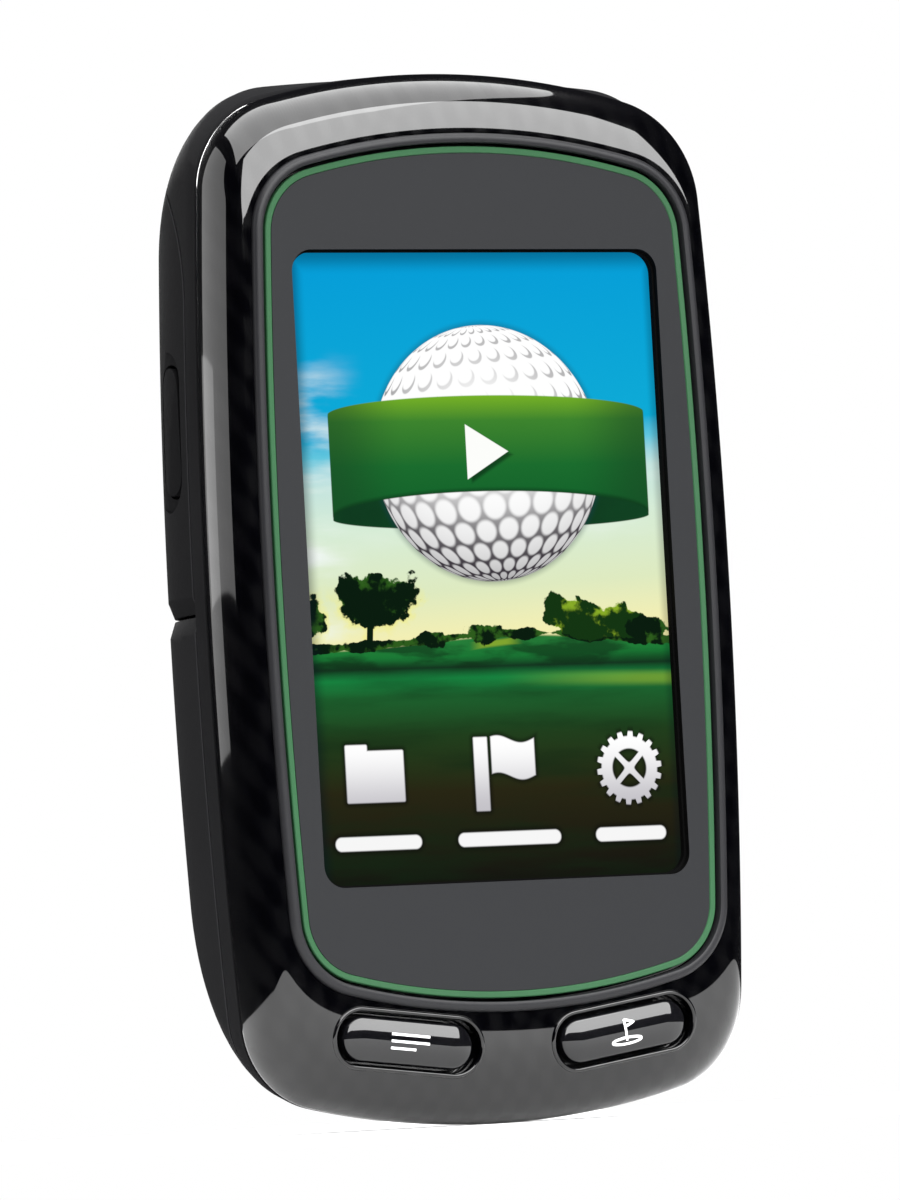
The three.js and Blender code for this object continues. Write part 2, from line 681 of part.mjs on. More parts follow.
function addBack() {
  addPiece("rear_case", rearCase(), "caseBlack");
  const sealDepths = SEAL.depths.map((depth) => WIDEST_DEPTH + depth);
  addPiece("case_seal", sealGroove(...SEAL.ring, sealDepths), "silicone");
  addPiece("back_grip", backGrip(), "rubberBlack");
  addPiece("power_button", powerButton(), "rubberBlack");
  addPiece("usb_cap", usbCap(), "rubberBlack");
  addPiece("battery_pack", batteryPack(), "battery");
  addPiece("battery_door", batteryDoor(), "caseBlack");
  addPiece("door_lock", doorLock(), "steel");
  addScrews();
}

addFront();
addElectronics();
addBack();

export default device;
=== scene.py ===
"""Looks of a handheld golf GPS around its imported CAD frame.

Metres, +Z up, the screen faces -Y. Shapes are worked out in millimetres: x across, depth from the
crest of the display rim towards the back, and z from the centre of the display window.
"""
import math

import bmesh
import bpy
import numpy as np
from mathutils import Matrix, Vector


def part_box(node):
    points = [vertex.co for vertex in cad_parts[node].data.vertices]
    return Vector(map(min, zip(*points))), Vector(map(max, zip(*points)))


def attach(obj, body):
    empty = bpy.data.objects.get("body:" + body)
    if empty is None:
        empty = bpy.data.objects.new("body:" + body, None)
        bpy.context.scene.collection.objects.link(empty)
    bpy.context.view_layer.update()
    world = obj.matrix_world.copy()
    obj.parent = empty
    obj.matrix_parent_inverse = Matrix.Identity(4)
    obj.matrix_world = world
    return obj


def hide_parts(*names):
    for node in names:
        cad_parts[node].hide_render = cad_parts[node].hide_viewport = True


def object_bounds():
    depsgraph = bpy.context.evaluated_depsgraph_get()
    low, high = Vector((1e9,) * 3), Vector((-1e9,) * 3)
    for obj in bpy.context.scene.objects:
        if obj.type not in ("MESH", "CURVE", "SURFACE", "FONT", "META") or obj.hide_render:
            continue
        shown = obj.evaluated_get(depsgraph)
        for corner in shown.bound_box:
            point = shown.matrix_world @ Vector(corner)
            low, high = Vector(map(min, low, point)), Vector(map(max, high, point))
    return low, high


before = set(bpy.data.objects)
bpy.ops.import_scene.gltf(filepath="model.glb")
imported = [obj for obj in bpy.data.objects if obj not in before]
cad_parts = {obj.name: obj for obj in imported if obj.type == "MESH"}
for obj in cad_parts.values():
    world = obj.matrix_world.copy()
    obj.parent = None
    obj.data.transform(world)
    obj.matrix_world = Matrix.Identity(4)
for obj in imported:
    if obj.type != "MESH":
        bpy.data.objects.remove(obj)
CAD_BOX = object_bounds()
MM = 0.001


def centre_of(node):
    low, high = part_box(node)
    return (low + high) / 2


# Places and sizes taken from the frame, in millimetres
WINDOW_Z = centre_of("lcd_panel").z / MM
CREST_Y = CAD_BOX[0].y / MM
BODY_DEPTH = (CAD_BOX[1].y - CAD_BOX[0].y) / MM
HALF_WIDTH = CAD_BOX[1].x / MM
TOP = CAD_BOX[1].z / MM - WINDOW_Z
BOTTOM = WINDOW_Z
KEY_X = centre_of("green_button").x / MM
KEY_Z = centre_of("green_button").z / MM - WINDOW_Z
SIDE_Z = centre_of("power_button").z / MM - WINDOW_Z
LOCK_Z = centre_of("door_lock").z / MM - WINDOW_Z
RING_HALF_BAND = 0.3
RING_HALF_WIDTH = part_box("accent_ring")[1].x / MM - RING_HALF_BAND
WINDOW = {"width": 37, "height": 56.5, "corner": 2}
GASKET_LIP = 0.18  # how far the black frame shows inside the window

# The body's outline and roundness, in millimetres
WIDEST = 5.8
FACE = 0.5
SIDE_RADIUS = 584
SIDE_CENTRE = -2.5
TOP_RADIUS = 72
BACK_TOP_RADIUS = 250
BOTTOM_RADIUS = 78
CORNER_TOP = 9
CORNER_BOTTOM = 8.2
RING = {
    "half_width": RING_HALF_WIDTH, "top": 37.2, "bottom": 38.3,
    "top_radius": 65, "bottom_radius": 65, "corner_top": 5.75, "corner_bottom": 5.75,
}
RIM_OFFSET = 1.8
OPENING_OFFSET = 1.6
FACE_CORNER = 7.5
SIDE_ROUNDNESS = 2
TOP_ROUNDNESS = 2.2
CHIN_ROUNDNESS = 2.5
BACK_FLAT = {"half_width": 16, "top": 20, "bottom": 20, "corner": 11.5}
BACK_ROUNDNESS = {"side": 3.05, "top": 2.2, "bottom": 1.8}
SEAM_GAP = 0.15
BACK_SEAM = WIDEST + SEAM_GAP
EDGE_ROUND = 0.09
SHELL_WALL = 1.9
LEDGE_FRONT = 1.3  # the ledge that carries the lens
LEDGE_BACK = 2.1
PANEL = {"width": 38.4, "height": 59.2, "corner": 1}

# Covers, grooves and side controls, in millimetres
COVER_EDGE = 8.1
COVER_THICK = 1.3
COVER_ARCH = {"start": 24, "rise": 14, "run": 12}
COVER_SPLIT = -3.4
COVER_GAP = 0.12
GROOVE = {"depth": 0.55, "half_width": 1.6}
WALL = 1.4
POWER = {"depth": 12, "length": 11.4, "width": 3.8}
PORT = {"depth": 10.65, "length": 9.2, "width": 4.6}
CAP = {"from": 8.25, "to": 13.4, "half_length": 6.5, "corner": 1.6}
SHELF = {"front": 11.2, "back": 12.1, "edge": -2}
BAY = {"half_width": 18.4, "top": -5, "bottom": -30}
LOCK = {"radius": 4.5, "shaft": 1.3, "flange": 2.5, "floor": 19.1, "play": 0.35}
DOTS = {"pitch": 2.2, "half_width": 16.8, "low": 0, "high": 32}
SCREWS = {"upper": (20.7, 33.8), "lower": (20.8, -36), "head": 8.3, "boss": 2.2, "well": 1.8}
CONTACT_HOLE = ((-5.3, 5.3), (10, 13), (-11.3, -7.7))
BEHIND = 21  # a depth past the back of the body
SLACK = 0.3  # clearance under the covers and round the side key
LOCK_KNURLS = 48

# Front keys, in millimetres
KEY = {"length": 13, "width": 4.1, "rise": 0.25, "crown": 0.42, "edge": 0.34, "level": 0.7}
WELL = {"length": 14.4, "width": 4.9}
KEY_TILTS = {"score_button": -7.3, "green_button": 8.1}
KEY_FLANGE = {"front": 2.5, "back": 3.1, "margin": 0.4}
PRINT = {"half_width": 0.11, "thick": 0.03, "sunk": 0.005}

# Patterns, in millimetres
WEAVE = {"pitch": 2.6, "lean": 0.25, "fibres": 9}
BALL = {"x": 0.8, "z": 10.05, "radius": 11.5, "dimple": 0.25}
BAND = {"x": 0.95, "half_width": 16.1, "low": 4.35, "high": 13.6}

# Points along each stretch of an outline, and rings along the body
SIDE_STEPS = 44
CORNER_STEPS = 26
END_STEPS = 26
FRONT_RINGS = 34
BACK_RINGS = 30


def mix(a, b, t):
    return a + (b - a) * t


# ---- outlines ----


def arc(centre, radius, start, end, steps):
    angles = start + (end - start) * np.arange(steps) / steps
    return np.column_stack([centre[0] + radius * np.cos(angles), centre[1] + radius * np.sin(angles)])


def quarter(half_width, bulge, end, end_radius, corner):
    """From the middle of a side to the middle of an end: a side arc, a corner and an end arc."""
    side_centre = half_width - SIDE_RADIUS
    end_centre = end - end_radius
    side_reach = SIDE_RADIUS - corner
    end_reach = end_radius - corner
    apart = math.hypot(side_centre, end_centre - bulge)
    along = (side_reach**2 - end_reach**2 + apart**2) / (2 * apart)
    across = math.sqrt(side_reach**2 - along**2)
    ux, uz = -side_centre / apart, (end_centre - bulge) / apart
    x = side_centre + along * ux - across * uz
    z = bulge + along * uz + across * ux
    start = math.asin(-bulge / SIDE_RADIUS)
    first = math.atan2(z - bulge, x - side_centre)
    second = math.atan2(z - end_centre, x)
    return np.vstack([
        arc((side_centre, bulge), SIDE_RADIUS, start, first, SIDE_STEPS),
        arc((x, z), corner, first, second, CORNER_STEPS),
        arc((0, end_centre), end_radius, second, math.pi / 2, END_STEPS),
        [[0, end]],
    ])


def outline(
    half_width, top, bottom, top_radius, bottom_radius, corner_top, corner_bottom, bulge=SIDE_CENTRE
):
    """A closed barrel outline, clockwise as seen from the front."""
    upper = quarter(half_width, bulge, top, top_radius, corner_top)
    lower = quarter(half_width, -bulge, bottom, bottom_radius, corner_bottom)
    return np.vstack([
        (upper * [-1, 1])[:-1],
        upper[::-1][:-1],
        (lower * [1, -1])[:-1],
        (lower * [-1, -1])[::-1][:-1],
    ])


def ring_outline(offset):
    """The accent ring's outline, moved outwards by an offset."""
    return outline(**{key: value + offset for key, value in RING.items()}, bulge=0)


def moved_in(points, amount):
    """A smooth closed outline, drawn in along its own normals."""
    along = np.roll(points, -1, axis=0) - np.roll(points, 1, axis=0)
    normal = np.column_stack([along[:, 1], -along[:, 0]])
    normal /= np.linalg.norm(normal, axis=1)[:, None]
    return points + normal * amount


def swell(depth, roundness):
    """How far the body has swelled between the rim and its widest line, 0 to 1."""
    left = (WIDEST - depth) / (WIDEST - FACE)
    return (1 - left**roundness) ** (1 / roundness)


def front_outline(depth):
    side = swell(depth, SIDE_ROUNDNESS)
    return outline(
        half_width=mix(RING["half_width"] + RIM_OFFSET, HALF_WIDTH, side),
        top=mix(RING["top"] + RIM_OFFSET, TOP, swell(depth, TOP_ROUNDNESS)),
        bottom=mix(RING["bottom"] + RIM_OFFSET, BOTTOM, swell(depth, CHIN_ROUNDNESS)),
        top_radius=mix(RING["top_radius"], TOP_RADIUS, side),
        bottom_radius=mix(RING["bottom_radius"], BOTTOM_RADIUS, side),
        corner_top=mix(FACE_CORNER, CORNER_TOP, side),
        corner_bottom=mix(FACE_CORNER, CORNER_BOTTOM, side),
        bulge=mix(0, SIDE_CENTRE, side),
    )


def back_outline(depth, inset):
    """The back half, drawn in by an inset on every side and on the back."""
    reach = (depth - WIDEST) / (BODY_DEPTH - inset - WIDEST)
    run = min(1.0, max(0.0, reach))
    side, top, bottom = [
        (1 - run**roundness) ** (1 / roundness)
        for roundness in (BACK_ROUNDNESS["side"], BACK_ROUNDNESS["top"], BACK_ROUNDNESS["bottom"])
    ]
    return outline(
        half_width=mix(BACK_FLAT["half_width"], HALF_WIDTH - inset, side),
        top=mix(BACK_FLAT["top"], TOP - inset, top),
        bottom=mix(BACK_FLAT["bottom"], BOTTOM - inset, bottom),
        top_radius=mix(TOP_RADIUS, BACK_TOP_RADIUS, min(1, run / 0.25)),
        bottom_radius=BOTTOM_RADIUS,
        corner_top=mix(BACK_FLAT["corner"], CORNER_TOP - inset, side),
        corner_bottom=mix(BACK_FLAT["corner"], CORNER_BOTTOM - inset, side),
    )


def rounded_box(x, z, width, height, corner, tilt=0, steps=10):
    """A rounded rectangle turned about its own centre; a pill when the corner is half its height."""
    points = []
    for sx, sz, start in ((-1, 1, 180), (1, 1, 90), (1, -1, 0), (-1, -1, -90)):
        for i in range(steps + 1):
            angle = math.radians(start - 90 * i / steps)
            px = sx * (width / 2 - corner) + corner * math.cos(angle)
            pz = sz * (height / 2 - corner) + corner * math.sin(angle)
            points.append((px, pz))
    return turned(np.array(points), tilt) + [x, z]


def turned(points, tilt):
    """Points turned anticlockwise by degrees, as seen from the front."""
    turn = math.radians(tilt)
    return points @ np.array([[math.cos(turn), math.sin(turn)], [-math.sin(turn), math.cos(turn)]])


def without_repeats(points):
    """Drops points that lie on their neighbour, as where a corner's arc meets the next one."""
    gaps = np.linalg.norm(points - np.roll(points, -1, axis=0), axis=1)
    return points[gaps > 1e-4]


def key_centre(name):
    return np.array([math.copysign(KEY_X, KEY_TILTS[name]), KEY_Z])


def key_pill(name, size, grow=0.0):
    """The plan of a key or its well, from a table with a length and a width."""
    length, width = size["length"] + 2 * grow, size["width"] + 2 * grow
    return rounded_box(*key_centre(name), length, width, width / 2, KEY_TILTS[name], steps=14)


def chin_depth(points):
    """Depth of the front surface at points below the rim, found by halving."""
    low = np.full(len(points), FACE + 1e-6)
    high = np.full(len(points), float(WIDEST))
    for _ in range(40):
        middle = (low + high) / 2
        side = swell(middle, SIDE_ROUNDNESS)
        end = mix(RING["bottom"] + RIM_OFFSET, BOTTOM, swell(middle, CHIN_ROUNDNESS))
        radius = mix(RING["bottom_radius"], BOTTOM_RADIUS, side)
        reach = end - radius + np.sqrt(radius**2 - points[:, 0] ** 2)
        outside = reach < -points[:, 1]
        low = np.where(outside, middle, low)
        high = np.where(outside, high, middle)
    return (low + high) / 2


# ---- meshes ----


def placed(points):
    """Points of (x, depth, z) in millimetres, in the frame's metres."""
    return (np.asarray(points, float) + [0, CREST_Y, WINDOW_Z]) * MM


def new_object(name, vertices, faces):
    mesh = bpy.data.meshes.new(name)
    mesh.from_pydata([tuple(v) for v in vertices], [], faces)
    shape = bmesh.new()
    shape.from_mesh(mesh)
    bmesh.ops.remove_doubles(shape, verts=shape.verts, dist=1e-7)
    bmesh.ops.recalc_face_normals(shape, faces=shape.faces)
    shape.to_mesh(mesh)
    shape.free()
    made = bpy.data.objects.new(name, mesh)
    bpy.context.scene.collection.objects.link(made)
    return made


def skin(sections, closed=False):
    """Skins a row of sections, each an array of (x, depth, z) points; a closed row has no caps."""
    count = len(sections[0])
    rows = len(sections) if closed else len(sections) - 1
    faces = []
    for i in range(rows):
        here, there = i * count, ((i + 1) % len(sections)) * count
        for j in range(count):
            k = (j + 1) % count
            faces.append((here + j, here + k, there + k, there + j))
    if not closed:
        last = (len(sections) - 1) * count
        faces.append(tuple(range(count)))
        faces.append(tuple(range(last + count - 1, last - 1, -1)))
    return new_object("solid", placed(np.vstack(sections)), faces)


def at_depth(points, depth):
    depths = np.broadcast_to(depth, len(points))
    return np.column_stack([points[:, 0], depths, points[:, 1]])


def loft(rings):
    return skin([at_depth(points, depth) for depth, points in rings])


def prism(points, start, end):
    points = without_repeats(points)
    return loft([(start, points), (end, points)])


def cross_bar(points, start=-40, end=40):
    """A slab along x, from its outline of (depth, z) points."""
    points = np.asarray(points, float)
    sections = [np.column_stack([np.full(len(points), x), points]) for x in (start, end)]
    return skin(sections)


def block(xs, depths, zs):
    corners = [(depths[0], zs[0]), (depths[1], zs[0]), (depths[1], zs[1]), (depths[0], zs[1])]
    return cross_bar(corners, *xs)


def lathe(x, z, profile, steps=64):
    """A body turned about an axis along the depth, from its (radius, depth) profile."""
    angles = np.arange(steps) * 2 * math.pi / steps
    circle = np.column_stack([np.cos(angles), np.sin(angles)])
    return skin([at_depth(circle * radius + [x, z], depth) for radius, depth in profile])


def rod(x, z, radius, start, end):
    return lathe(x, z, [(radius, start), (radius, end)])


def combine(first, second, operation):
    """Joins, cuts or intersects two closed meshes; the second is used up."""
    step = first.modifiers.new(operation, "BOOLEAN")
    step.solver = "MANIFOLD"
    step.operation = operation
    step.object = second
    graph = bpy.context.evaluated_depsgraph_get()
    result = bpy.data.meshes.new_from_object(first.evaluated_get(graph))
    first.modifiers.clear()
    spent = [first.data, second.data]
    first.data = result
    bpy.data.objects.remove(second)
    for mesh in spent:
        bpy.data.meshes.remove(mesh)
    return first


def cut(first, *others):
    for other in others:
        combine(first, other, "DIFFERENCE")
    return first


def keep(first, other):
    return combine(first, other, "INTERSECT")


def join(first, *others):
    for other in others:
        combine(first, other, "UNION")
    return first


# ---- node patterns ----


class Term:
    """A value in a node tree, so that a pattern can be written as a formula."""

    def __init__(self, tree, socket):
        self.tree = tree
        self.socket = socket

    def math(self, operation, *others):
        node = self.tree.nodes.new("ShaderNodeMath")
        node.operation = operation
        for port, value in zip(node.inputs, (self, *others)):
            plug(port, value)
        return Term(self.tree, node.outputs[0])

    def __add__(self, other):
        return self.math("ADD", other)

    def __sub__(self, other):
        return self.math("SUBTRACT", other)

    def __mul__(self, other):
        return self.math("MULTIPLY", other)

    def __truediv__(self, other):
        return self.math("DIVIDE", other)

    def __neg__(self):
        return self * -1

    def minimum(self, other):
        return self.math("MINIMUM", other)

    def maximum(self, other):
        return self.math("MAXIMUM", other)

    def absolute(self):
        return self.math("ABSOLUTE")

    def root(self):
        return self.maximum(0).math("SQRT")

    def fade(self, low, high):
        """0 below low and 1 above high, smooth between; low may be the larger."""
        node = self.tree.nodes.new("ShaderNodeMapRange")
        node.interpolation_type = "SMOOTHSTEP"
        flipped = low > high
        plug(node.inputs["Value"], self)
        node.inputs["From Min"].default_value = min(low, high)
        node.inputs["From Max"].default_value = max(low, high)
        node.inputs["To Min"].default_value = 1.0 if flipped else 0.0
        node.inputs["To Max"].default_value = 0.0 if flipped else 1.0
        return Term(self.tree, node.outputs["Result"])


def plug(port, value):
    if isinstance(value, Term):
        value.tree.links.new(value.socket, port)
    else:
        port.default_value = value


def srgb(red, green, blue):
    """A colour given as on a screen, 0 to 255, made linear."""
    parts = [value / 255 for value in (red, green, blue)]
    linear = [p / 12.92 if p <= 0.04045 else ((p + 0.055) / 1.055) ** 2.4 for p in parts]
    return (*linear, 1.0)


def blend(below, above, mask):
    """The colour below where the mask is 0, and the one above where it is 1."""
    node = mask.tree.nodes.new("ShaderNodeMix")
    node.data_type = "RGBA"
    plug(node.inputs[0], mask)
    plug(node.inputs[6], below)
    plug(node.inputs[7], above)
    return Term(mask.tree, node.outputs[2])


def ramp(value, stops):
    """A colour along a value, from stops of (position, colour)."""
    node = value.tree.nodes.new("ShaderNodeValToRGB")
    low, high = stops[0][0], stops[-1][0]
    plug(node.inputs["Fac"], (value - low) / (high - low))
    elements = node.color_ramp.elements
    while len(elements) < len(stops):
        elements.new(0.5)
    for element, (position, colour) in zip(elements, stops):
        element.position = (position - low) / (high - low)
        element.color = colour
    return Term(value.tree, node.outputs["Color"])


def millimetres(tree):
    """The object coordinates in millimetres: x, depth and z as in the shapes."""
    place = tree.nodes.new("ShaderNodeTexCoord")
    split = tree.nodes.new("ShaderNodeSeparateXYZ")
    tree.links.new(place.outputs["Object"], split.inputs[0])
    x, y, z = [Term(tree, out) for out in split.outputs]
    return x * (1 / MM), y * (1 / MM) - CREST_Y, z * (1 / MM) - WINDOW_Z


def noise(tree, scale, detail=3.0, stretch=(1, 1, 1)):
    """Noise at a scale in features per metre, stretched along the axes."""
    place = tree.nodes.new("ShaderNodeTexCoord")
    mapping = tree.nodes.new("ShaderNodeMapping")
    mapping.inputs["Scale"].default_value = stretch
    tree.links.new(place.outputs["Object"], mapping.inputs["Vector"])
    node = tree.nodes.new("ShaderNodeTexNoise")
    node.inputs["Scale"].default_value = scale
    node.inputs["Detail"].default_value = detail
    tree.links.new(mapping.outputs["Vector"], node.inputs["Vector"])
    return Term(tree, node.outputs["Fac"])


def bump(height, strength, distance):
    node = height.tree.nodes.new("ShaderNodeBump")
    node.inputs["Strength"].default_value = strength
    node.inputs["Distance"].default_value = distance
    plug(node.inputs["Height"], height)
    return Term(height.tree, node.outputs["Normal"])


def new_material(name, **settings):
    """A material with a Principled shader and plain values on its sockets."""
    made = bpy.data.materials.new(name)
    made.use_nodes = True
    tree = made.node_tree
    shader = tree.nodes["Principled BSDF"]
    for key, value in settings.items():
        shader.inputs[key.replace("_", " ")].default_value = value
    return made, tree, shader


def wire(shader, **terms):
    for key, term in terms.items():
        plug(shader.inputs[key.replace("_", " ")], term)


def scaled(colour, amount):
    return tuple(min(1.0, part * amount) for part in colour[:3]) + (1.0,)


def grained(name, colour, roughness, grain=900, depth=0.00003, spread=0.12, contrast=0.25, **settings):
    """Moulded plastic, rubber or metal: fine surface grain, and slight change in tone and sheen."""
    made, tree, shader = new_material(name, **settings)
    cloud = noise(tree, 90)
    fine = noise(tree, grain, detail=4)
    tones = blend(scaled(colour, 1 - contrast), scaled(colour, 1 + contrast), cloud)
    wire(shader, Base_Color=tones, Roughness=fine * (2 * spread) + (roughness - spread))
    wire(shader, Normal=bump(fine, 0.6, depth))
    return made


# ---- materials ----


def cover_material(name, colour, roughness, dots):
    """A matte cover with a painted highlight along its front edge; dots is 1 for a field of raised
    dots.
    """
    made, tree, shader = new_material(name, Specular_IOR_Level=0.005)
    x, depth, z = millimetres(tree)
    fine = noise(tree, 2400, detail=4)
    cloud = noise(tree, 70)
    reach = (-depth + COVER_EDGE + COVER_ARCH["run"]) / COVER_ARCH["run"]
    rise = (z - COVER_ARCH["start"]).maximum(0) / COVER_ARCH["rise"]
    from_painted_highlight = ((reach * reach + rise * rise).root() - 1).absolute() * COVER_ARCH["run"]
    # Painted highlight: a thin lighter line along the cover's front edge, standing in for light caught
    # by the edge.
    edge = from_painted_highlight.fade(0.34, 0.14)
    base = blend(scaled(colour, 0.8), colour, cloud)
    wire(shader, Base_Color=blend(base, srgb(52, 52, 54), edge * 0.6))
    wire(shader, Roughness=fine * 0.16 + (roughness - 0.08))
    turn = math.pi / DOTS["pitch"]
    lattice = (x * turn).math("SINE") * (z * turn).math("SINE")
    field = x.absolute().fade(DOTS["half_width"] + 0.5, DOTS["half_width"]) * depth.fade(15, 16)
    field = field * z.fade(DOTS["low"] - 0.6, DOTS["low"]) * z.fade(DOTS["high"] + 0.6, DOTS["high"])
    relief = lattice.absolute().fade(0.45, 0.8) * field * dots + fine * 0.06
    wire(shader, Normal=bump(relief, 0.8, 0.0003))
    return made


def carbon_gloss():
    """Deep gloss black over a carbon weave that only shows in reflections."""
    made, tree, shader = new_material(
        "carbon_gloss", Coat_Weight=1.0, Coat_Roughness=0.03, Specular_IOR_Level=0.03
    )
    x, depth, z = millimetres(tree)
    turn = 2 * math.pi / WEAVE["pitch"]
    across = (x + z * WEAVE["lean"]) * turn
    up = (z - x * 0.3 - depth) * turn * 0.5
    weave = across.math("SINE") * up.math("SINE")
    fibre = (x * turn * WEAVE["fibres"]).math("SINE") * 0.15
    sheen = (weave + fibre).fade(-0.6, 0.9)
    wire(shader, Base_Color=blend(srgb(1, 1, 2), srgb(4, 4, 5), sheen))
    wire(shader, Roughness=sheen * -0.08 + 0.3)
    wire(shader, Specular_Tint=blend(srgb(8, 8, 8), srgb(255, 255, 255), sheen))
    return made


def key_gloss():
    made, tree, shader = new_material(
        "key_gloss", Coat_Weight=1.0, Coat_Roughness=0.04, Specular_IOR_Level=0.02
    )
    fine = noise(tree, 300)
    wire(shader, Base_Color=blend(srgb(4, 4, 6), srgb(12, 12, 14), fine))
    wire(shader, Roughness=fine * 0.15 + 0.2)
    return made


def screen_picture():
    """A lit picture: sky, a golf ball behind a green band, a fairway and three icons."""
    made, tree, shader = new_material(
        "screen_picture",
        Base_Color=srgb(2, 2, 2),
        Roughness=0.5,
        Specular_IOR_Level=0.0,
        Emission_Strength=1.0,
    )
    x, _, z = millimetres(tree)
    colour = picture_sky(x, z)
    for paint in (picture_ground, picture_trees, picture_ball, picture_icons, picture_edges):
        colour = paint(x, z, colour)
    wire(shader, Emission_Color=colour)
    return made


def picture_sky(x, z):
    sky = ramp(z - x * 0.05, [
        (-7, srgb(248, 240, 176)),
        (-2, srgb(222, 234, 192)),
        (4, srgb(214, 236, 214)),
        (8, srgb(196, 228, 222)),
        (10.6, srgb(96, 198, 222)),
        (12.4, srgb(8, 170, 214)),
        (29, srgb(0, 156, 216)),
    ])
    streaks = noise(x.tree, 120, detail=6, stretch=(0.5, 1, 2.2)).fade(0.45, 0.75)
    high = z.fade(20, 14) * x.fade(-11, -17.5) * 1.4
    low = z.fade(11, 7) * z.fade(0, 6) * 0.8
    return blend(sky, srgb(238, 246, 240), streaks * high.maximum(low))


def picture_ground(x, z, colour):
    grass = ramp(z, [
        (-28, srgb(18, 17, 12)),
        (-20, srgb(38, 36, 16)),
        (-15, srgb(30, 62, 26)),
        (-11.5, srgb(26, 96, 44)),
        (-10, srgb(20, 130, 62)),
        (-9, srgb(16, 52, 30)),
        (-8, srgb(24, 120, 52)),
        (-6, srgb(42, 132, 60)),
    ])
    stripes = noise(x.tree, 160, detail=6, stretch=(0.35, 1, 2.5))
    grass = blend(grass, srgb(14, 40, 18), stripes.fade(0.4, 0.75) * 0.55)
    sunlit = x.fade(0, 17) * (z + 10.1 + x * 0.02).absolute().fade(0.9, 0.1)
    grass = blend(grass, srgb(150, 190, 50), sunlit * 0.45)
    hills = noise(x.tree, 300, detail=5, stretch=(0.4, 1, 1.6)).fade(0.46, 0.6) * z.fade(-9.6, -8.6)
    grass = blend(grass, srgb(12, 40, 20), hills * 0.7)
    along, off = (x - 0.6).absolute() * 0.35, (z + 7 - x * 0.09).absolute() * 2.4
    glade = along.maximum(off).fade(1.0, 0.3)
    grass = blend(grass, srgb(150, 182, 44), glade * 0.7)
    return blend(colour, grass, above_hill(x, z).fade(0.15, -0.15))


def above_hill(x, z):
    """Height above the skyline of the fairway."""
    return z + 6.8 - (x * 0.16 + 1.1).math("SINE") * 0.5


def picture_trees(x, z, colour):
    wobble = noise(x.tree, 900, detail=5) - 0.5
    clumps = noise(x.tree, 330, detail=4) - 0.5

    def crown(cx, cz, rx, rz):
        across = (x - cx) / rx
        up = (z - cz) / rz
        return (across * across + up * up).root() + wobble * 1.4 + clumps * 2.4

    foliage = crown(-11.4, -2.6, 3.9, 2.5).minimum(crown(-17.6, -4.4, 1.5, 1.6))
    far = crown(8.4, -4.6, 2.9, 1.7).minimum(crown(12.4, -5.1, 3.0, 1.5))
    trunk = ((x + 11.9 - (z + 4) * 0.08).absolute() * 3.2).maximum((z + 5).absolute() * 0.55)
    hedge = (above_hill(x, z) - 0.2).absolute() * 1.5 + wobble + clumps * 2.2 + 0.35
    bushes = crown(-0.8, -6.0, 2.4, 0.9).minimum(crown(-5.6, -6.4, 1.5, 0.7))
    bushes = bushes.minimum(crown(16.8, -5.9, 2, 1))
    speckle = (wobble + clumps + 0.5).fade(0.46, 0.62)
    leaf = blend(srgb(4, 26, 10), srgb(44, 92, 26), speckle * foliage.fade(0.2, 0.9))
    glow = foliage.fade(1.5, 1.0) * z.fade(-1, -4) * 0.5
    colour = blend(colour, srgb(244, 238, 110), glow)
    dark = foliage.minimum(trunk).minimum(hedge)
    colour = blend(colour, leaf, dark.fade(1.05, 0.92))
    sunny = blend(srgb(16, 52, 14), srgb(136, 172, 38), speckle * far.fade(0.1, 0.8))
    colour = blend(colour, sunny, far.fade(1.05, 0.92))
    return blend(colour, leaf, bushes.fade(1.05, 0.92))


def picture_ball(x, z, colour):
    """The golf ball and the green band that runs round it, back half first."""
    colour = picture_band_back(x, z, colour)
    u = (x - BALL["x"]) / BALL["radius"]
    v = (z - BALL["z"]) / BALL["radius"]
    out = (u * u + v * v).root()
    colour = blend(colour, srgb(20, 60, 70), out.fade(1.06, 0.98) * 0.5)
    colour = blend(colour, ball_white(u, v, out), out.fade(1.004, 0.996))
    colour = picture_band_front(x, z, colour)
    return picture_arrow(x, z, colour)


def ball_white(u, v, out):
    """White with dimples: dark ridges low on the ball, and soft crescents high on it."""
    front = (-(u * u) - v * v + 1).root()
    tilt = math.radians(5)
    level = u * math.cos(tilt) + v * math.sin(tilt)
    rise = v * math.cos(tilt) - u * math.sin(tilt)
    longitude = level.math("ARCTAN2", front) / BALL["dimple"]
    latitude = rise.math("ARCSINE") / (BALL["dimple"] * math.sqrt(3))

    def lattice(shift, slide=0.0):
        a = (longitude + shift + slide).math("FRACT") - 0.5
        b = (latitude + shift - slide).math("FRACT") - 0.5
        return (a * a + b * b * 3).root()

    dimple = lattice(0.0).minimum(lattice(0.5))
    lit = lattice(0.0, 0.07).minimum(lattice(0.5, 0.07))
    crescent = dimple.fade(0.42, 0.34) * lit.fade(0.28, 0.38) * out.fade(0.1, 1.0)
    light = (v * 0.3 + front * 0.3 + 0.72).minimum(1.0)
    tone = light - dimple.fade(0.34, 0.52) * v.fade(0.25, -0.7) * 0.45
    tone = tone - crescent * v.fade(-0.4, 0.2) * 0.5
    return blend(srgb(58, 52, 60), srgb(255, 255, 255), tone.fade(0.1, 0.98))


def band_frame(x):
    """Where a point lies across the band, the band's sag there, and the mask of its width."""
    across = (x - BAND["x"]) / BAND["half_width"]
    arch = (-(across * across) + 1).root()
    return across, arch, across.absolute().fade(1.0, 0.992)


def picture_band_back(x, z, colour):
    _, arch, inside = band_frame(x)
    above = (z - BAND["low"] + arch * 1.1).fade(-0.06, 0.06)
    dark = blend(srgb(8, 48, 26), srgb(16, 74, 36), noise(x.tree, 200))
    return blend(colour, dark, above * inside * (z - BAND["high"]).fade(0.06, -0.06))


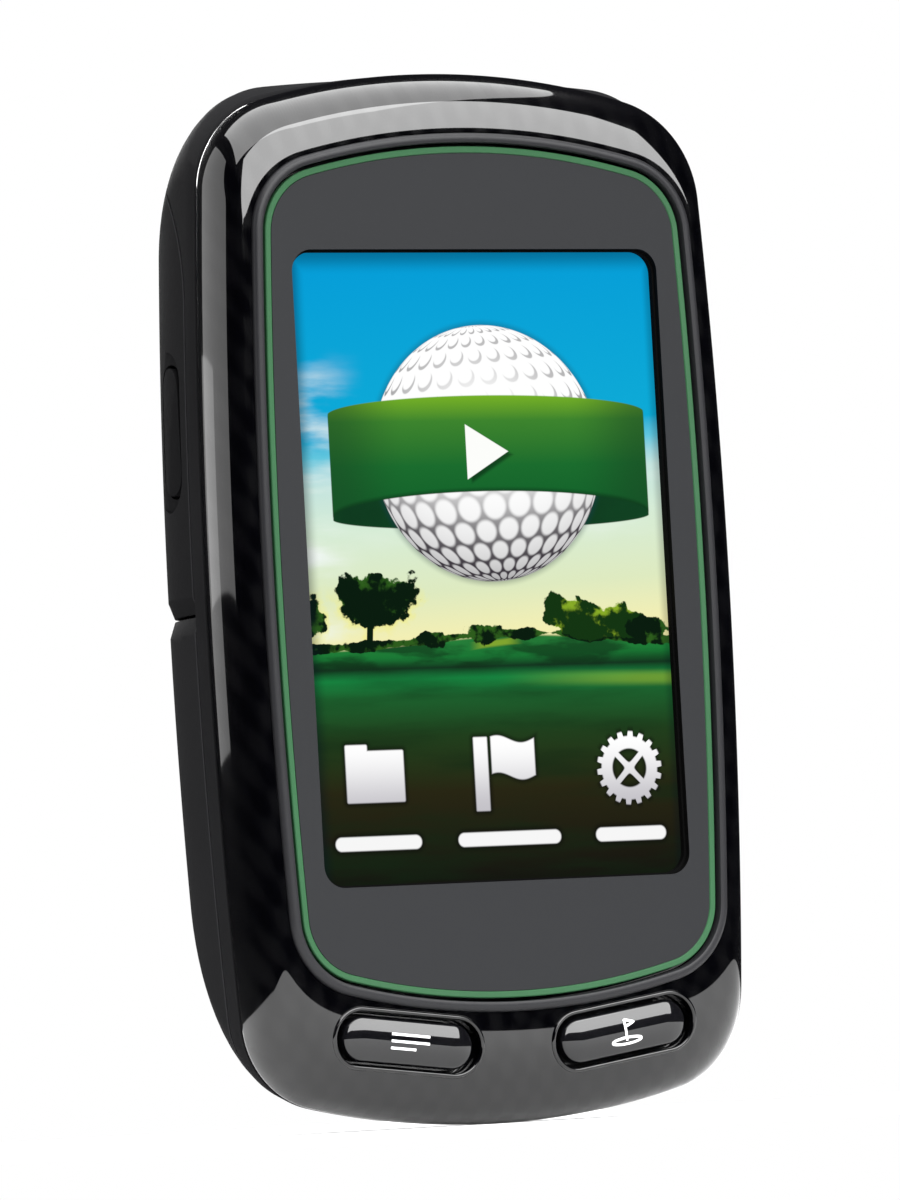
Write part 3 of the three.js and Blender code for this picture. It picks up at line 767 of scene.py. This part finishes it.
def picture_band_front(x, z, colour):
    across, arch, inside = band_frame(x)
    lower_edge = z - BAND["low"] - arch * 2.3
    upper_edge = z - BAND["high"] - arch * 1.65
    face = ramp(z, [
        (4, srgb(10, 92, 40)),
        (9, srgb(24, 108, 44)),
        (13, srgb(60, 132, 44)),
        (15.3, srgb(118, 178, 36)),
    ])
    face = blend(face, srgb(22, 70, 34), across.absolute().fade(0.5, 1.0) * 0.6)
    face = blend(face, srgb(6, 40, 20), lower_edge.fade(0.5, 0.0) * 0.6)
    mask = lower_edge.fade(-0.06, 0.06) * upper_edge.fade(0.06, -0.06) * inside
    return blend(colour, face, mask)


def picture_arrow(x, z, colour):
    """A white arrow that points right, with a soft shade under it."""
    slope = 0.58
    past = x + 1.4
    beyond = past - 0.3
    arrow = past.fade(0, 0.08) * ((z - 10.2).absolute() + past * slope).fade(2.55, 2.45)
    shade = beyond.fade(0, 0.3) * ((z - 9.9).absolute() + beyond * slope).fade(2.8, 2.3)
    colour = blend(colour, srgb(4, 34, 16), shade * 0.7)
    return blend(colour, srgb(252, 253, 250), arrow)


def picture_icons(x, z, colour):
    """A folder, a flag and a gear, each over a plain bar."""
    soft = 0.09

    def box(cx, cz, half_x, half_z, corner=0.15):
        dx = ((x - cx).absolute() - (half_x - corner)).maximum(0)
        dz = ((z - cz).absolute() - (half_z - corner)).maximum(0)
        return (dx * dx + dz * dz).root() - corner

    folder = box(-12.3, -18.5, 2.9, 2.3).minimum(box(-14.1, -16.4, 1.1, 0.75))
    wave = ((x + 1.2) * 1.25).math("SINE") * 0.35
    flag_dz = (z + 17.2 - wave).absolute() - 1.65
    flag = flag_dz.maximum((x - 1.66).absolute() - 2.2)
    flag = flag.minimum(box(-1.6, -18.6, 0.7, 3.3, 0.1))
    gx, gz = x - 13.5, z + 18.5
    spread = (gx * gx + gz * gz).root()
    turn = gz.math("ARCTAN2", gx)
    teeth = (turn * 18).math("SINE").fade(-0.35, 0.35) * 0.45
    gear = spread - teeth - 2.85
    spokes = ((turn * 2 + math.pi / 2).math("SINE").absolute() * spread) - 0.5
    hub_hole = (spread - 1.75).maximum(-spokes).maximum(-(spread - 0.45))
    gear = gear.maximum(-hub_hole)
    icons = folder.minimum(flag).minimum(gear)
    for middle, half in ((-12.3, 4.3), (0.9, 5.2), (13.3, 3.6)):
        icons = icons.minimum(box(middle, -24.4, half, 0.62, 0.6))
    tone = blend(srgb(196, 194, 200), srgb(255, 255, 255), z.fade(-22, -15.5))
    tone = blend(tone, srgb(246, 246, 246), z.fade(-23, -23.6))
    colour = blend(colour, srgb(8, 8, 6), icons.fade(0.6, -0.1) * 0.75)
    return blend(colour, tone, icons.fade(soft, -soft))


def picture_edges(x, z, colour):
    """The frame's soft shade over the edges of the picture."""
    top = (-z + WINDOW["height"] / 2).fade(2.2, 0.2) * 0.5
    left = (x + WINDOW["width"] / 2).fade(1.9, 0.2) * 0.65
    right = (-x + WINDOW["width"] / 2).fade(1.1, 0.2) * 0.35
    return blend(colour, srgb(4, 20, 26), top.maximum(left).maximum(right))


def cover_nodes():
    """Materials for the CAD nodes that stay as they are."""
    steel = grained("brushed_steel", srgb(168, 170, 173), 0.34, grain=1500, Metallic=1.0)
    board = grained("solder_mask", srgb(22, 84, 50), 0.4, grain=500, contrast=0.35)
    silicone = grained("silicone_gray", srgb(124, 127, 130), 0.7, grain=600)
    white = grained("white_plastic", srgb(214, 214, 212), 0.5, grain=700, contrast=0.05)
    ceramic = grained("antenna_ceramic", srgb(196, 178, 136), 0.55, grain=800, contrast=0.1)
    black = grained("black_plastic", srgb(24, 24, 26), 0.5)
    metal_parts = ["display_frame", "score_switch", "green_switch", "shield_can", "usb_connector"]
    metal_parts += ["power_switch", *[f"case_screw_{i}" for i in (1, 2, 3, 4)]]
    uses = [
        (steel, metal_parts),
        (white, ["backlight_unit", "battery_contacts"]),
        (silicone, ["key_membrane", "case_seal"]),
        (board, ["main_board"]),
        (ceramic, ["gps_antenna"]),
        (black, ["beeper"]),
    ]
    for material, names in uses:
        for name in names:
            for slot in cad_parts[name].material_slots:
                slot.material = material


# ---- pieces ----


def dress(made, name, body, material, replaced, angle=32):
    """Names a piece, gives it its material, hangs it on its body and hides the CAD node it takes the
    place of.
    """
    made.name = name
    made.data.name = name
    made.data.materials.clear()
    made.data.materials.append(material)
    made.data.shade_smooth()
    made.data.set_sharp_from_angle(angle=math.radians(angle))
    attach(made, body)
    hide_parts(replaced)
    return made


def seam_rings(outline_at, seam, towards):
    """Three rings that round the edge of a shell where it meets the parting line."""
    edge = outline_at(seam)
    return [
        (seam + towards * EDGE_ROUND, outline_at(seam + towards * EDGE_ROUND)),
        (seam + towards * EDGE_ROUND * 0.3, moved_in(edge, EDGE_ROUND * 0.3)),
        (seam, moved_in(edge, EDGE_ROUND)),
    ]


def front_shell():
    seam = WIDEST - SEAM_GAP
    rings = []
    for i in range(FRONT_RINGS):
        depth = WIDEST - (WIDEST - FACE) * math.cos(math.pi / 2 * i / FRONT_RINGS)
        if depth < seam - 2 * EDGE_ROUND:
            rings.append((depth, front_outline(depth)))
    return loft(rings + seam_rings(front_outline, seam, -1))


def add_bezel(material):
    shell = front_shell()
    inner = moved_in(front_outline(WIDEST), SHELL_WALL)
    cut(
        shell,
        prism(inner, LEDGE_BACK, WIDEST + 1),
        prism(ring_outline(OPENING_OFFSET), -1, LEDGE_FRONT),
        prism(ring_outline(-1), -1, LEDGE_BACK + 1),
    )
    for name in KEY_TILTS:
        cut(shell, prism(key_pill(name, WELL), -1, LEDGE_BACK + 1))
    dress(shell, "bezel_shell", "case", material, "front_bezel")


def add_key_surround(name, material):
    """The raised lip round a key's well, following the chin."""
    lip = [
        (-0.06, 0.9), (-0.06, 0.0), (0.02, -0.14), (0.14, -0.2),
        (0.26, -0.16), (0.36, -0.02), (0.4, 0.25),
    ]
    sections = []
    for grow, sink in lip:
        points = key_pill(name, WELL, grow)
        sections.append(at_depth(points, chin_depth(points) + sink))
    made = skin(sections, closed=True)
    piece = name.replace("button", "key_surround")
    dress(made, piece, "case", material, "front_bezel", angle=60)


def key_base(name, points):
    """The chin's depth under a key, levelled across the key so that its crown faces forwards."""
    centre = key_centre(name)
    along = turned(np.array([1.0, 0.0]), KEY_TILTS[name])
    middle_line = centre + ((points - centre) @ along)[:, None] * along
    return mix(chin_depth(points), chin_depth(middle_line), KEY["level"])


def add_key(name, body, gloss):
    """A key: its flange, its stem, a rounded edge and a crown."""
    half = KEY["width"] / 2
    flange = key_pill(name, WELL, KEY_FLANGE["margin"])
    front = KEY_FLANGE["front"]
    sections = [at_depth(flange, KEY_FLANGE["back"]), at_depth(flange, front)]
    sections.append(at_depth(key_pill(name, KEY), front))
    bevel = KEY["edge"]
    edge_steps, crown_steps = 6, 10
    insets = [bevel * (1 - math.cos(math.pi / 2 * i / edge_steps)) for i in range(edge_steps)]
    insets += [bevel + (half - bevel) * i / crown_steps for i in range(crown_steps)] + [half - 0.001]
    for inset in insets:
        points = key_pill(name, KEY, -inset)
        across = 1 - inset / half
        left = max(0.0, bevel - inset)
        drop = bevel - math.sqrt(bevel**2 - left**2) + KEY["crown"] * across**2
        sections.append(at_depth(points, key_base(name, points) - KEY["rise"] + drop))
    made = skin(sections)
    piece = name.replace("button", "key_cap")
    dress(made, piece, body, gloss, name, angle=50)


def key_marks():
    """Small pictures on the keys: the lines of a score card, and a flag on a green."""
    card = [[(-1.9, 0.62), (1.9, 0.62)], [(-1.9, 0.0), (1.9, 0.0)], [(-1.9, -0.62), (0.6, -0.62)]]
    turns = np.linspace(0, 2 * math.pi, 33)
    ground = [(1.5 * math.cos(a), -0.85 + 0.28 * math.sin(a)) for a in turns]
    flag = [[(0, -0.85), (0, 1.05)], [(0, 1.05), (0.95, 0.72), (0, 0.4)], ground]
    return {"score_button": card, "green_button": flag}


def add_key_mark(name, body, paint):
    """Printed lines that lie on the key's crown."""
    half = KEY["width"] / 2
    width, thick = PRINT["half_width"], PRINT["thick"]
    verts = []
    faces = []
    for line in key_marks()[name]:
        dense = resampled(np.array(line), 0.12)
        across = path_normals(dense)
        start = len(verts)
        for side, lift in ((-width, 0.0), (-width, thick), (width, thick), (width, 0.0)):
            local = dense + across * side
            points = turned(local, KEY_TILTS[name]) + key_centre(name)
            crown = KEY["crown"] * (local[:, 1] / half) ** 2
            depths = key_base(name, points) - KEY["rise"] + crown - lift + PRINT["sunk"]
            verts.extend(at_depth(points, depths))
        count = len(dense)
        rows = [start + i * count for i in range(4)]
        for j in range(count - 1):
            for here, there in zip(rows, rows[1:] + rows[:1]):
                faces.append((here + j, here + j + 1, there + j + 1, there + j))
        faces.append(tuple(rows))
        faces.append(tuple(row + count - 1 for row in reversed(rows)))
    made = new_object("mark", placed(verts), faces)
    piece = name.replace("button", "key_print")
    dress(made, piece, body, paint, name)


def path_normals(path):
    """Unit normals of an open path."""
    along = np.gradient(path, axis=0)
    normal = np.column_stack([-along[:, 1], along[:, 0]])
    return normal / np.linalg.norm(normal, axis=1)[:, None]


def resampled(points, step):
    """Points along a line, about a step apart."""
    rows = []
    for a, b in zip(points[:-1], points[1:]):
        count = max(2, int(np.linalg.norm(b - a) / step))
        rows.append(a + (b - a) * (np.arange(count) / count)[:, None])
    return np.vstack(rows + [points[-1:]])


def band_round_lens(profile):
    """A closed band that follows the ring's outline, from its (offset, depth) profile."""
    return skin([at_depth(ring_outline(offset), depth) for offset, depth in profile], closed=True)


def add_rim(material):
    profile = [
        (0.62, 1.0), (0.62, 0.16), (0.68, 0.05), (0.8, 0.0), (1.1, 0.0), (1.28, 0.06),
        (1.42, 0.2), (1.5, 0.4), (1.54, 0.6), (1.54, 1.0),
    ]
    dress(band_round_lens(profile), "rim_frame", "case", material, "display_rim")


def add_accent(material):
    half = RING_HALF_BAND
    profile = [
        (-half, 1.0), (-half, 0.44), (-0.22, 0.37), (0.2, 0.34), (0.28, 0.4), (half, 0.5), (half, 1.0),
    ]
    made = band_round_lens(profile)
    dress(made, "accent_band", "case", material, "accent_ring")


def add_lens(gray, black):
    plate = prism(ring_outline(-RING_HALF_BAND - 0.03), 0.4, 1.0)
    window = rounded_box(0, 0, WINDOW["width"], WINDOW["height"], WINDOW["corner"], steps=16)
    cut(plate, prism(window, -1, 2))
    made = dress(plate, "lens_plate", "case", gray, "lens_mask")
    made.data.materials.append(black)
    for face in made.data.polygons:
        inside = abs(face.center.x) < (WINDOW["width"] / 2 + 0.1) * MM
        face.material_index = 1 if inside and abs(face.normal.y) < 0.5 else 0


def add_gasket(black):
    """The black foam frame between the lens and the picture."""
    outer = rounded_box(0, 0, *PANEL.values(), steps=8)
    size = (WINDOW["width"] - 2 * GASKET_LIP, WINDOW["height"] - 2 * GASKET_LIP)
    window = rounded_box(0, 0, *size, WINDOW["corner"], steps=16)
    made = cut(prism(outer, 1.01, 1.6), prism(window, 0, 3))
    dress(made, "window_gasket", "case", black, "touch_film")


def add_display(picture, black):
    panel = prism(rounded_box(0, 0, *PANEL.values(), steps=6), 1.65, 2.95)
    made = dress(panel, "lcd_module", "case", black, "lcd_panel")
    made.data.materials.append(picture)
    for face in made.data.polygons:
        if face.normal.y < -0.9:
            face.material_index = 1


def outer_back(inset=0.0, start=None):
    """The back half as a solid; the outermost one has a rounded edge at the parting line."""
    reach = BODY_DEPTH - inset - WIDEST

    def at(depth):
        return back_outline(depth, inset)

    if start is None:
        rings = seam_rings(at, BACK_SEAM, 1)[::-1]
    else:
        rings = [(start, at(start))]
    first = rings[-1][0]
    for i in range(1, BACK_RINGS + 1):
        angle = math.pi / 2 * i / BACK_RINGS
        depth = WIDEST + reach * math.sin(angle) ** (2 / BACK_ROUNDNESS["side"])
        if depth > first + 0.2:
            rings.append((depth, at(depth)))
    return loft(rings)


def front_of_covers(shift):
    """The space in front of the covers' edge, which curves to the back near the top."""
    steps = 40
    far = 60
    curve = []
    for i in range(steps + 1):
        angle = math.pi / 2 * i / steps
        curve.append((
            COVER_EDGE + shift + COVER_ARCH["run"] * (1 - math.cos(angle)),
            COVER_ARCH["start"] + COVER_ARCH["rise"] * math.sin(angle) - shift,
        ))
    last_depth, last_z = curve[-1]
    before, behind = -5, last_depth + 5
    below = [(before, -far), (COVER_EDGE + shift, -far)]
    return cross_bar([*below, *curve, (behind, last_z), (behind, far), (before, far)])


def side_slot(depth, length, width, start, end):
    points = without_repeats(rounded_box(0, SIDE_Z, width, length, width / 2, steps=14))
    return cross_bar(points + [depth, 0], start, end)


def power_slot():
    return side_slot(POWER["depth"], POWER["length"] + 2 * SLACK, POWER["width"] + 2 * SLACK, -40, -15)


def cap_plan(grow):
    size = (CAP["to"] - CAP["from"] + 2 * grow, 2 * (CAP["half_length"] + grow))
    points = without_repeats(rounded_box(0, SIDE_Z, *size, CAP["corner"]))
    return cross_bar(points + [(CAP["from"] + CAP["to"]) / 2, 0], 20, 40)


def port_block(start, end, half_width, half_length):
    """A block along x, centred on the port."""
    depth = PORT["depth"]
    zs = (SIDE_Z - half_length, SIDE_Z + half_length)
    return block((start, end), (depth - half_width, depth + half_width), zs)


def screw_spots():
    return [(side * x, z) for x, z in (SCREWS["upper"], SCREWS["lower"]) for side in (-1, 1)]


def groove_cutter():
    """A V that runs across the back along the split between the grip and the door."""
    runs = np.sin(np.linspace(0.02, 1, 40) * math.pi / 2) ** (2 / BACK_ROUNDNESS["side"])
    depths = WIDEST + (BODY_DEPTH - WIDEST) * runs
    widths = [back_outline(d, 0)[:, 0].max() for d in depths]
    right = np.column_stack([widths, depths])
    flat = np.column_stack([np.linspace(BACK_FLAT["half_width"], 0, 12)[1:], np.full(11, BODY_DEPTH)])
    half = np.vstack([right, flat])
    path = np.vstack([half * [-1, 1], half[::-1][1:]])
    normal = path_normals(path)
    normal *= np.sign((normal * (path - [0, WIDEST])).sum(axis=1))[:, None]
    sections = []
    for point, out in zip(path, normal):
        bottom = point - out * GROOVE["depth"]
        rim = point + out * GROOVE["depth"]
        spread = GROOVE["half_width"] * 2
        sections.append(np.array([
            (*bottom, COVER_SPLIT),
            (*rim, COVER_SPLIT + spread),
            (*rim, COVER_SPLIT - spread),
        ]))
    return skin(sections)


def add_rear(material):
    """The rear shell: its band and inner wall, then its hollows, screw posts, battery bay and holes."""
    rear = keep(outer_back(), front_of_covers(-COVER_GAP))
    join(rear, outer_back(COVER_THICK + SLACK, start=BACK_SEAM + 0.02))
    space = outer_back(COVER_THICK + SLACK + WALL, start=WIDEST - 0.5)
    shelf = block((-40, 40), (SHELF["front"], BEHIND), (-60, SHELF["edge"]))
    cut(rear, cut(space, shelf))
    head = SCREWS["head"]
    for x, z in screw_spots():
        join(rear, rod(x, z, SCREWS["boss"], BACK_SEAM + 0.02, head + 1.5))
    for x, z in screw_spots():
        cut(rear, rod(x, z, 1.0, 0, head + 1), rod(x, z, SCREWS["well"], head - SLACK, BEHIND))
    middle = (BAY["top"] + BAY["bottom"]) / 2
    bay = rounded_box(0, middle, 2 * BAY["half_width"], BAY["top"] - BAY["bottom"], 2)
    cut(rear, prism(bay, SHELF["back"], BEHIND))
    cut(rear, block(*CONTACT_HOLE), power_slot())
    cut(rear, port_block(21.9, 40, PORT["width"] / 2, PORT["length"] / 2))
    groove = cut(
        prism(back_outline(WIDEST, 1.0), WIDEST - 1, WIDEST + 1),
        prism(back_outline(WIDEST, 2.2), WIDEST - 2, WIDEST + 2),
    )
    cut(rear, groove)
    dress(rear, "rear_shell", "case", material, "rear_case")


def cover_skin():
    shell = cut(outer_back(), outer_back(COVER_THICK, start=WIDEST - 1), front_of_covers(COVER_GAP))
    return cut(shell, groove_cutter())


def add_grip(material):
    grip = keep(cover_skin(), block((-40, 40), (0, 30), (COVER_SPLIT + 0.15, 60)))
    recess = side_slot(POWER["depth"] + 0.6, POWER["length"] + 3, POWER["width"] + 2.4, -40, -25.2)
    cut(grip, power_slot(), recess, cap_plan(0.2))
    dress(grip, "grip_cover", "case", material, "back_grip")


def add_door(material):
    door = keep(cover_skin(), block((-40, 40), (0, 30), (-60, COVER_SPLIT - 0.15)))
    cut(
        door,
        rod(0, LOCK_Z, LOCK["radius"] + LOCK["play"], LOCK["floor"], BEHIND),
        rod(0, LOCK_Z, LOCK["shaft"] + LOCK["play"], 15, BEHIND),
    )
    dress(door, "door_cover", "door", material, "battery_door")


def add_power_key(material):
    depth, length, width = POWER.values()
    stem = keep(side_slot(depth, length, width, -25.6, -20.7), outer_back())
    join(stem, side_slot(depth, length + 1, width + 1, -21.1, -20.7))
    dress(stem, "power_key", "power_key", material, "power_button")


def add_port_cap(material):
    flap = cut(outer_back(), outer_back(COVER_THICK, start=WIDEST - 1))
    keep(flap, cap_plan(0))
    join(flap, port_block(23.4, 25.4, PORT["width"] / 2 - 0.5, PORT["length"] / 2 - 0.7))
    dress(flap, "port_flap", "port_cap", material, "usb_cap")


def add_lock(material):
    """A flange and shaft under a disc with a knurled edge and a coin slot."""
    back, radius, seat = BODY_DEPTH, LOCK["radius"], LOCK["floor"] + 0.25
    disc = lathe(0, LOCK_Z, [
        (LOCK["flange"], 17.1), (LOCK["flange"], 18.4), (LOCK["shaft"], 18.4), (LOCK["shaft"], seat),
        (radius - 0.1, seat), (radius, seat + 0.1), (radius, back - 0.16), (radius - 0.1, back - 0.04),
        (radius - 0.25, back),
    ], steps=96)
    reach = radius + 0.12
    for angle in np.arange(LOCK_KNURLS) * 2 * math.pi / LOCK_KNURLS:
        x, z = reach * math.cos(angle), LOCK_Z + reach * math.sin(angle)
        cut(disc, rod(x, z, 0.2, back - 0.5, back + 1))
    cut(disc, block((-3.4, 3.4), (back - 0.42, back + 1), (LOCK_Z - 0.6, LOCK_Z + 0.6)))
    dress(disc, "coin_lock", "lock", material, "door_lock")


def add_battery(material):
    middle = (BAY["top"] + BAY["bottom"]) / 2
    size = (2 * BAY["half_width"] - 1, BAY["top"] - BAY["bottom"] - 1)
    profile = [(12.4, 0.7), (12.55, 0.25), (12.9, 0.0), (16.3, 0.0), (16.65, 0.25), (16.8, 0.7)]
    rings = []
    for depth, inset in profile:
        points = rounded_box(0, middle, size[0] - 2 * inset, size[1] - 2 * inset, 3 - inset)
        rings.append((depth, without_repeats(points)))
    dress(loft(rings), "cell_pack", "case", material, "battery_pack")


# ---- studio ----

FLOOR_RADIUS = 0.17  # metres
CAMERA_PLACE = (-0.35213, -0.65538, 0.004)
CAMERA_FORWARD = (0.47319, 0.87905, 0.058)
CAMERA_UP = (0.02132, -0.07724, 0.99678)
FOCAL_LENGTH = 248.125  # millimetres, on a sensor 36 mm wide


def softbox(name, place, target, size, radiance):
    """A rectangular light of a given size and brightness, aimed at a point."""
    lamp = bpy.data.lights.new(name, "AREA")
    lamp.shape = "RECTANGLE"
    lamp.size, lamp.size_y = size
    lamp.energy = radiance * math.pi * size[0] * size[1]
    made = bpy.data.objects.new(name, lamp)
    made.location = place
    made.rotation_mode = "QUATERNION"
    made.rotation_quaternion = (Vector(target) - Vector(place)).to_track_quat("-Z", "Y")
    made.visible_camera = False
    bpy.context.scene.collection.objects.link(made)


def add_lights():
    """Two softboxes in front and above, two low on the left for the long highlight, and one behind."""
    middle = (0, 0, 0.05)
    softbox("front_top", (0.13, -0.74, 0.5), middle, (1.06, 0.62), 10.2)
    softbox("overhead", (-0.02, -0.1, 0.8), middle, (1.04, 1.0), 5.4)
    softbox("left_tall", (-0.5, 0.22, 0.33), (0, 0, 0.33), (0.5, 0.5), 2.2)
    softbox("left_low", (-0.42, 0.36, 0.09), (0, 0, 0.09), (0.2, 0.1), 2.0)
    softbox("behind", (0.0, 0.97, 0.45), middle, (0.55, 0.4), 13.0)


def add_floor():
    turns = np.linspace(0, 2 * math.pi, 96, endpoint=False)
    edge = [(FLOOR_RADIUS * math.cos(a), FLOOR_RADIUS * math.sin(a), 0) for a in turns]
    made = new_object("floor", edge, [tuple(range(len(edge)))])
    material, tree, shader = new_material(
        "pale_floor", Roughness=0.9, Emission_Color=srgb(255, 255, 255), Emission_Strength=0.06
    )
    wire(shader, Base_Color=blend(srgb(226, 226, 226), srgb(234, 234, 234), noise(tree, 3)))
    made.data.materials.append(material)


def add_world():
    """White behind the object, and nearly black for what its gloss reflects."""
    world = bpy.data.worlds.new("studio")
    world.use_nodes = True
    bpy.context.scene.world = world
    tree = world.node_tree
    path = tree.nodes.new("ShaderNodeLightPath")
    seen = Term(tree, path.outputs["Is Camera Ray"])
    glow = blend((0.012, 0.012, 0.014, 1), (1, 1, 1, 1), seen)
    plug(tree.nodes["Background"].inputs["Color"], glow)


def add_camera():
    forward = Vector(CAMERA_FORWARD).normalized()
    right = forward.cross(Vector(CAMERA_UP)).normalized()
    up = right.cross(forward)
    lens = bpy.data.cameras.new("camera")
    lens.sensor_width = 36
    lens.lens = FOCAL_LENGTH
    lens.clip_start = 0.01
    lens.clip_end = 20
    made = bpy.data.objects.new("camera", lens)
    turn = Matrix((right, up, -forward)).transposed().to_4x4()
    made.matrix_world = Matrix.Translation(CAMERA_PLACE) @ turn
    bpy.context.scene.collection.objects.link(made)
    bpy.context.scene.camera = made


# ---- the whole object ----


def add_front():
    gloss = carbon_gloss()
    keys = key_gloss()
    paint = grained("white_print", srgb(236, 236, 236), 0.5, contrast=0.04)
    black = grained("window_black", srgb(4, 4, 4), 0.8, Specular_IOR_Level=0.05)
    satin = grained(
        "rim_satin", srgb(31, 31, 33), 0.38, 1400, 0.00001, 0.05, 0.06, Specular_IOR_Level=0.18
    )
    green = grained(
        "accent_green", srgb(33, 73, 44), 0.5, 1600, 0.00001, contrast=0.15, Specular_IOR_Level=0.2
    )
    gray = grained(
        "lens_matte", srgb(26, 27, 29), 0.6, 2500, 0.000003, 0.03, 0.01, Specular_IOR_Level=0.15
    )
    add_bezel(gloss)
    for name, body in (("score_button", "score_key"), ("green_button", "green_key")):
        add_key_surround(name, gloss)
        add_key(name, body, keys)
        add_key_mark(name, body, paint)
    add_rim(satin)
    add_accent(green)
    add_lens(gray, black)
    add_gasket(black)
    add_display(screen_picture(), black)


def add_back():
    matte = grained("case_matte", srgb(26, 26, 27), 0.6, 2600, 0.00002, Specular_IOR_Level=0.005)
    rubber = grained("side_rubber", srgb(20, 20, 21), 0.66, 1800, 0.00004, Specular_IOR_Level=0.005)
    metal = grained("lock_metal", srgb(92, 94, 98), 0.4, 1500, 0.00001, Metallic=1.0)
    wrap = grained("battery_wrap", srgb(70, 92, 128), 0.35, 500, 0.00001, contrast=0.12)
    add_rear(matte)
    add_grip(cover_material("grip_rubber", srgb(25, 25, 26), 0.62, dots=1.0))
    add_door(cover_material("door_matte", srgb(29, 29, 30), 0.58, dots=0.0))
    add_power_key(rubber)
    add_port_cap(rubber)
    add_lock(metal)
    add_battery(wrap)


bpy.context.scene.view_settings.view_transform = "Standard"
add_camera()
add_world()
add_floor()
add_lights()
add_front()
add_back()
cover_nodes()
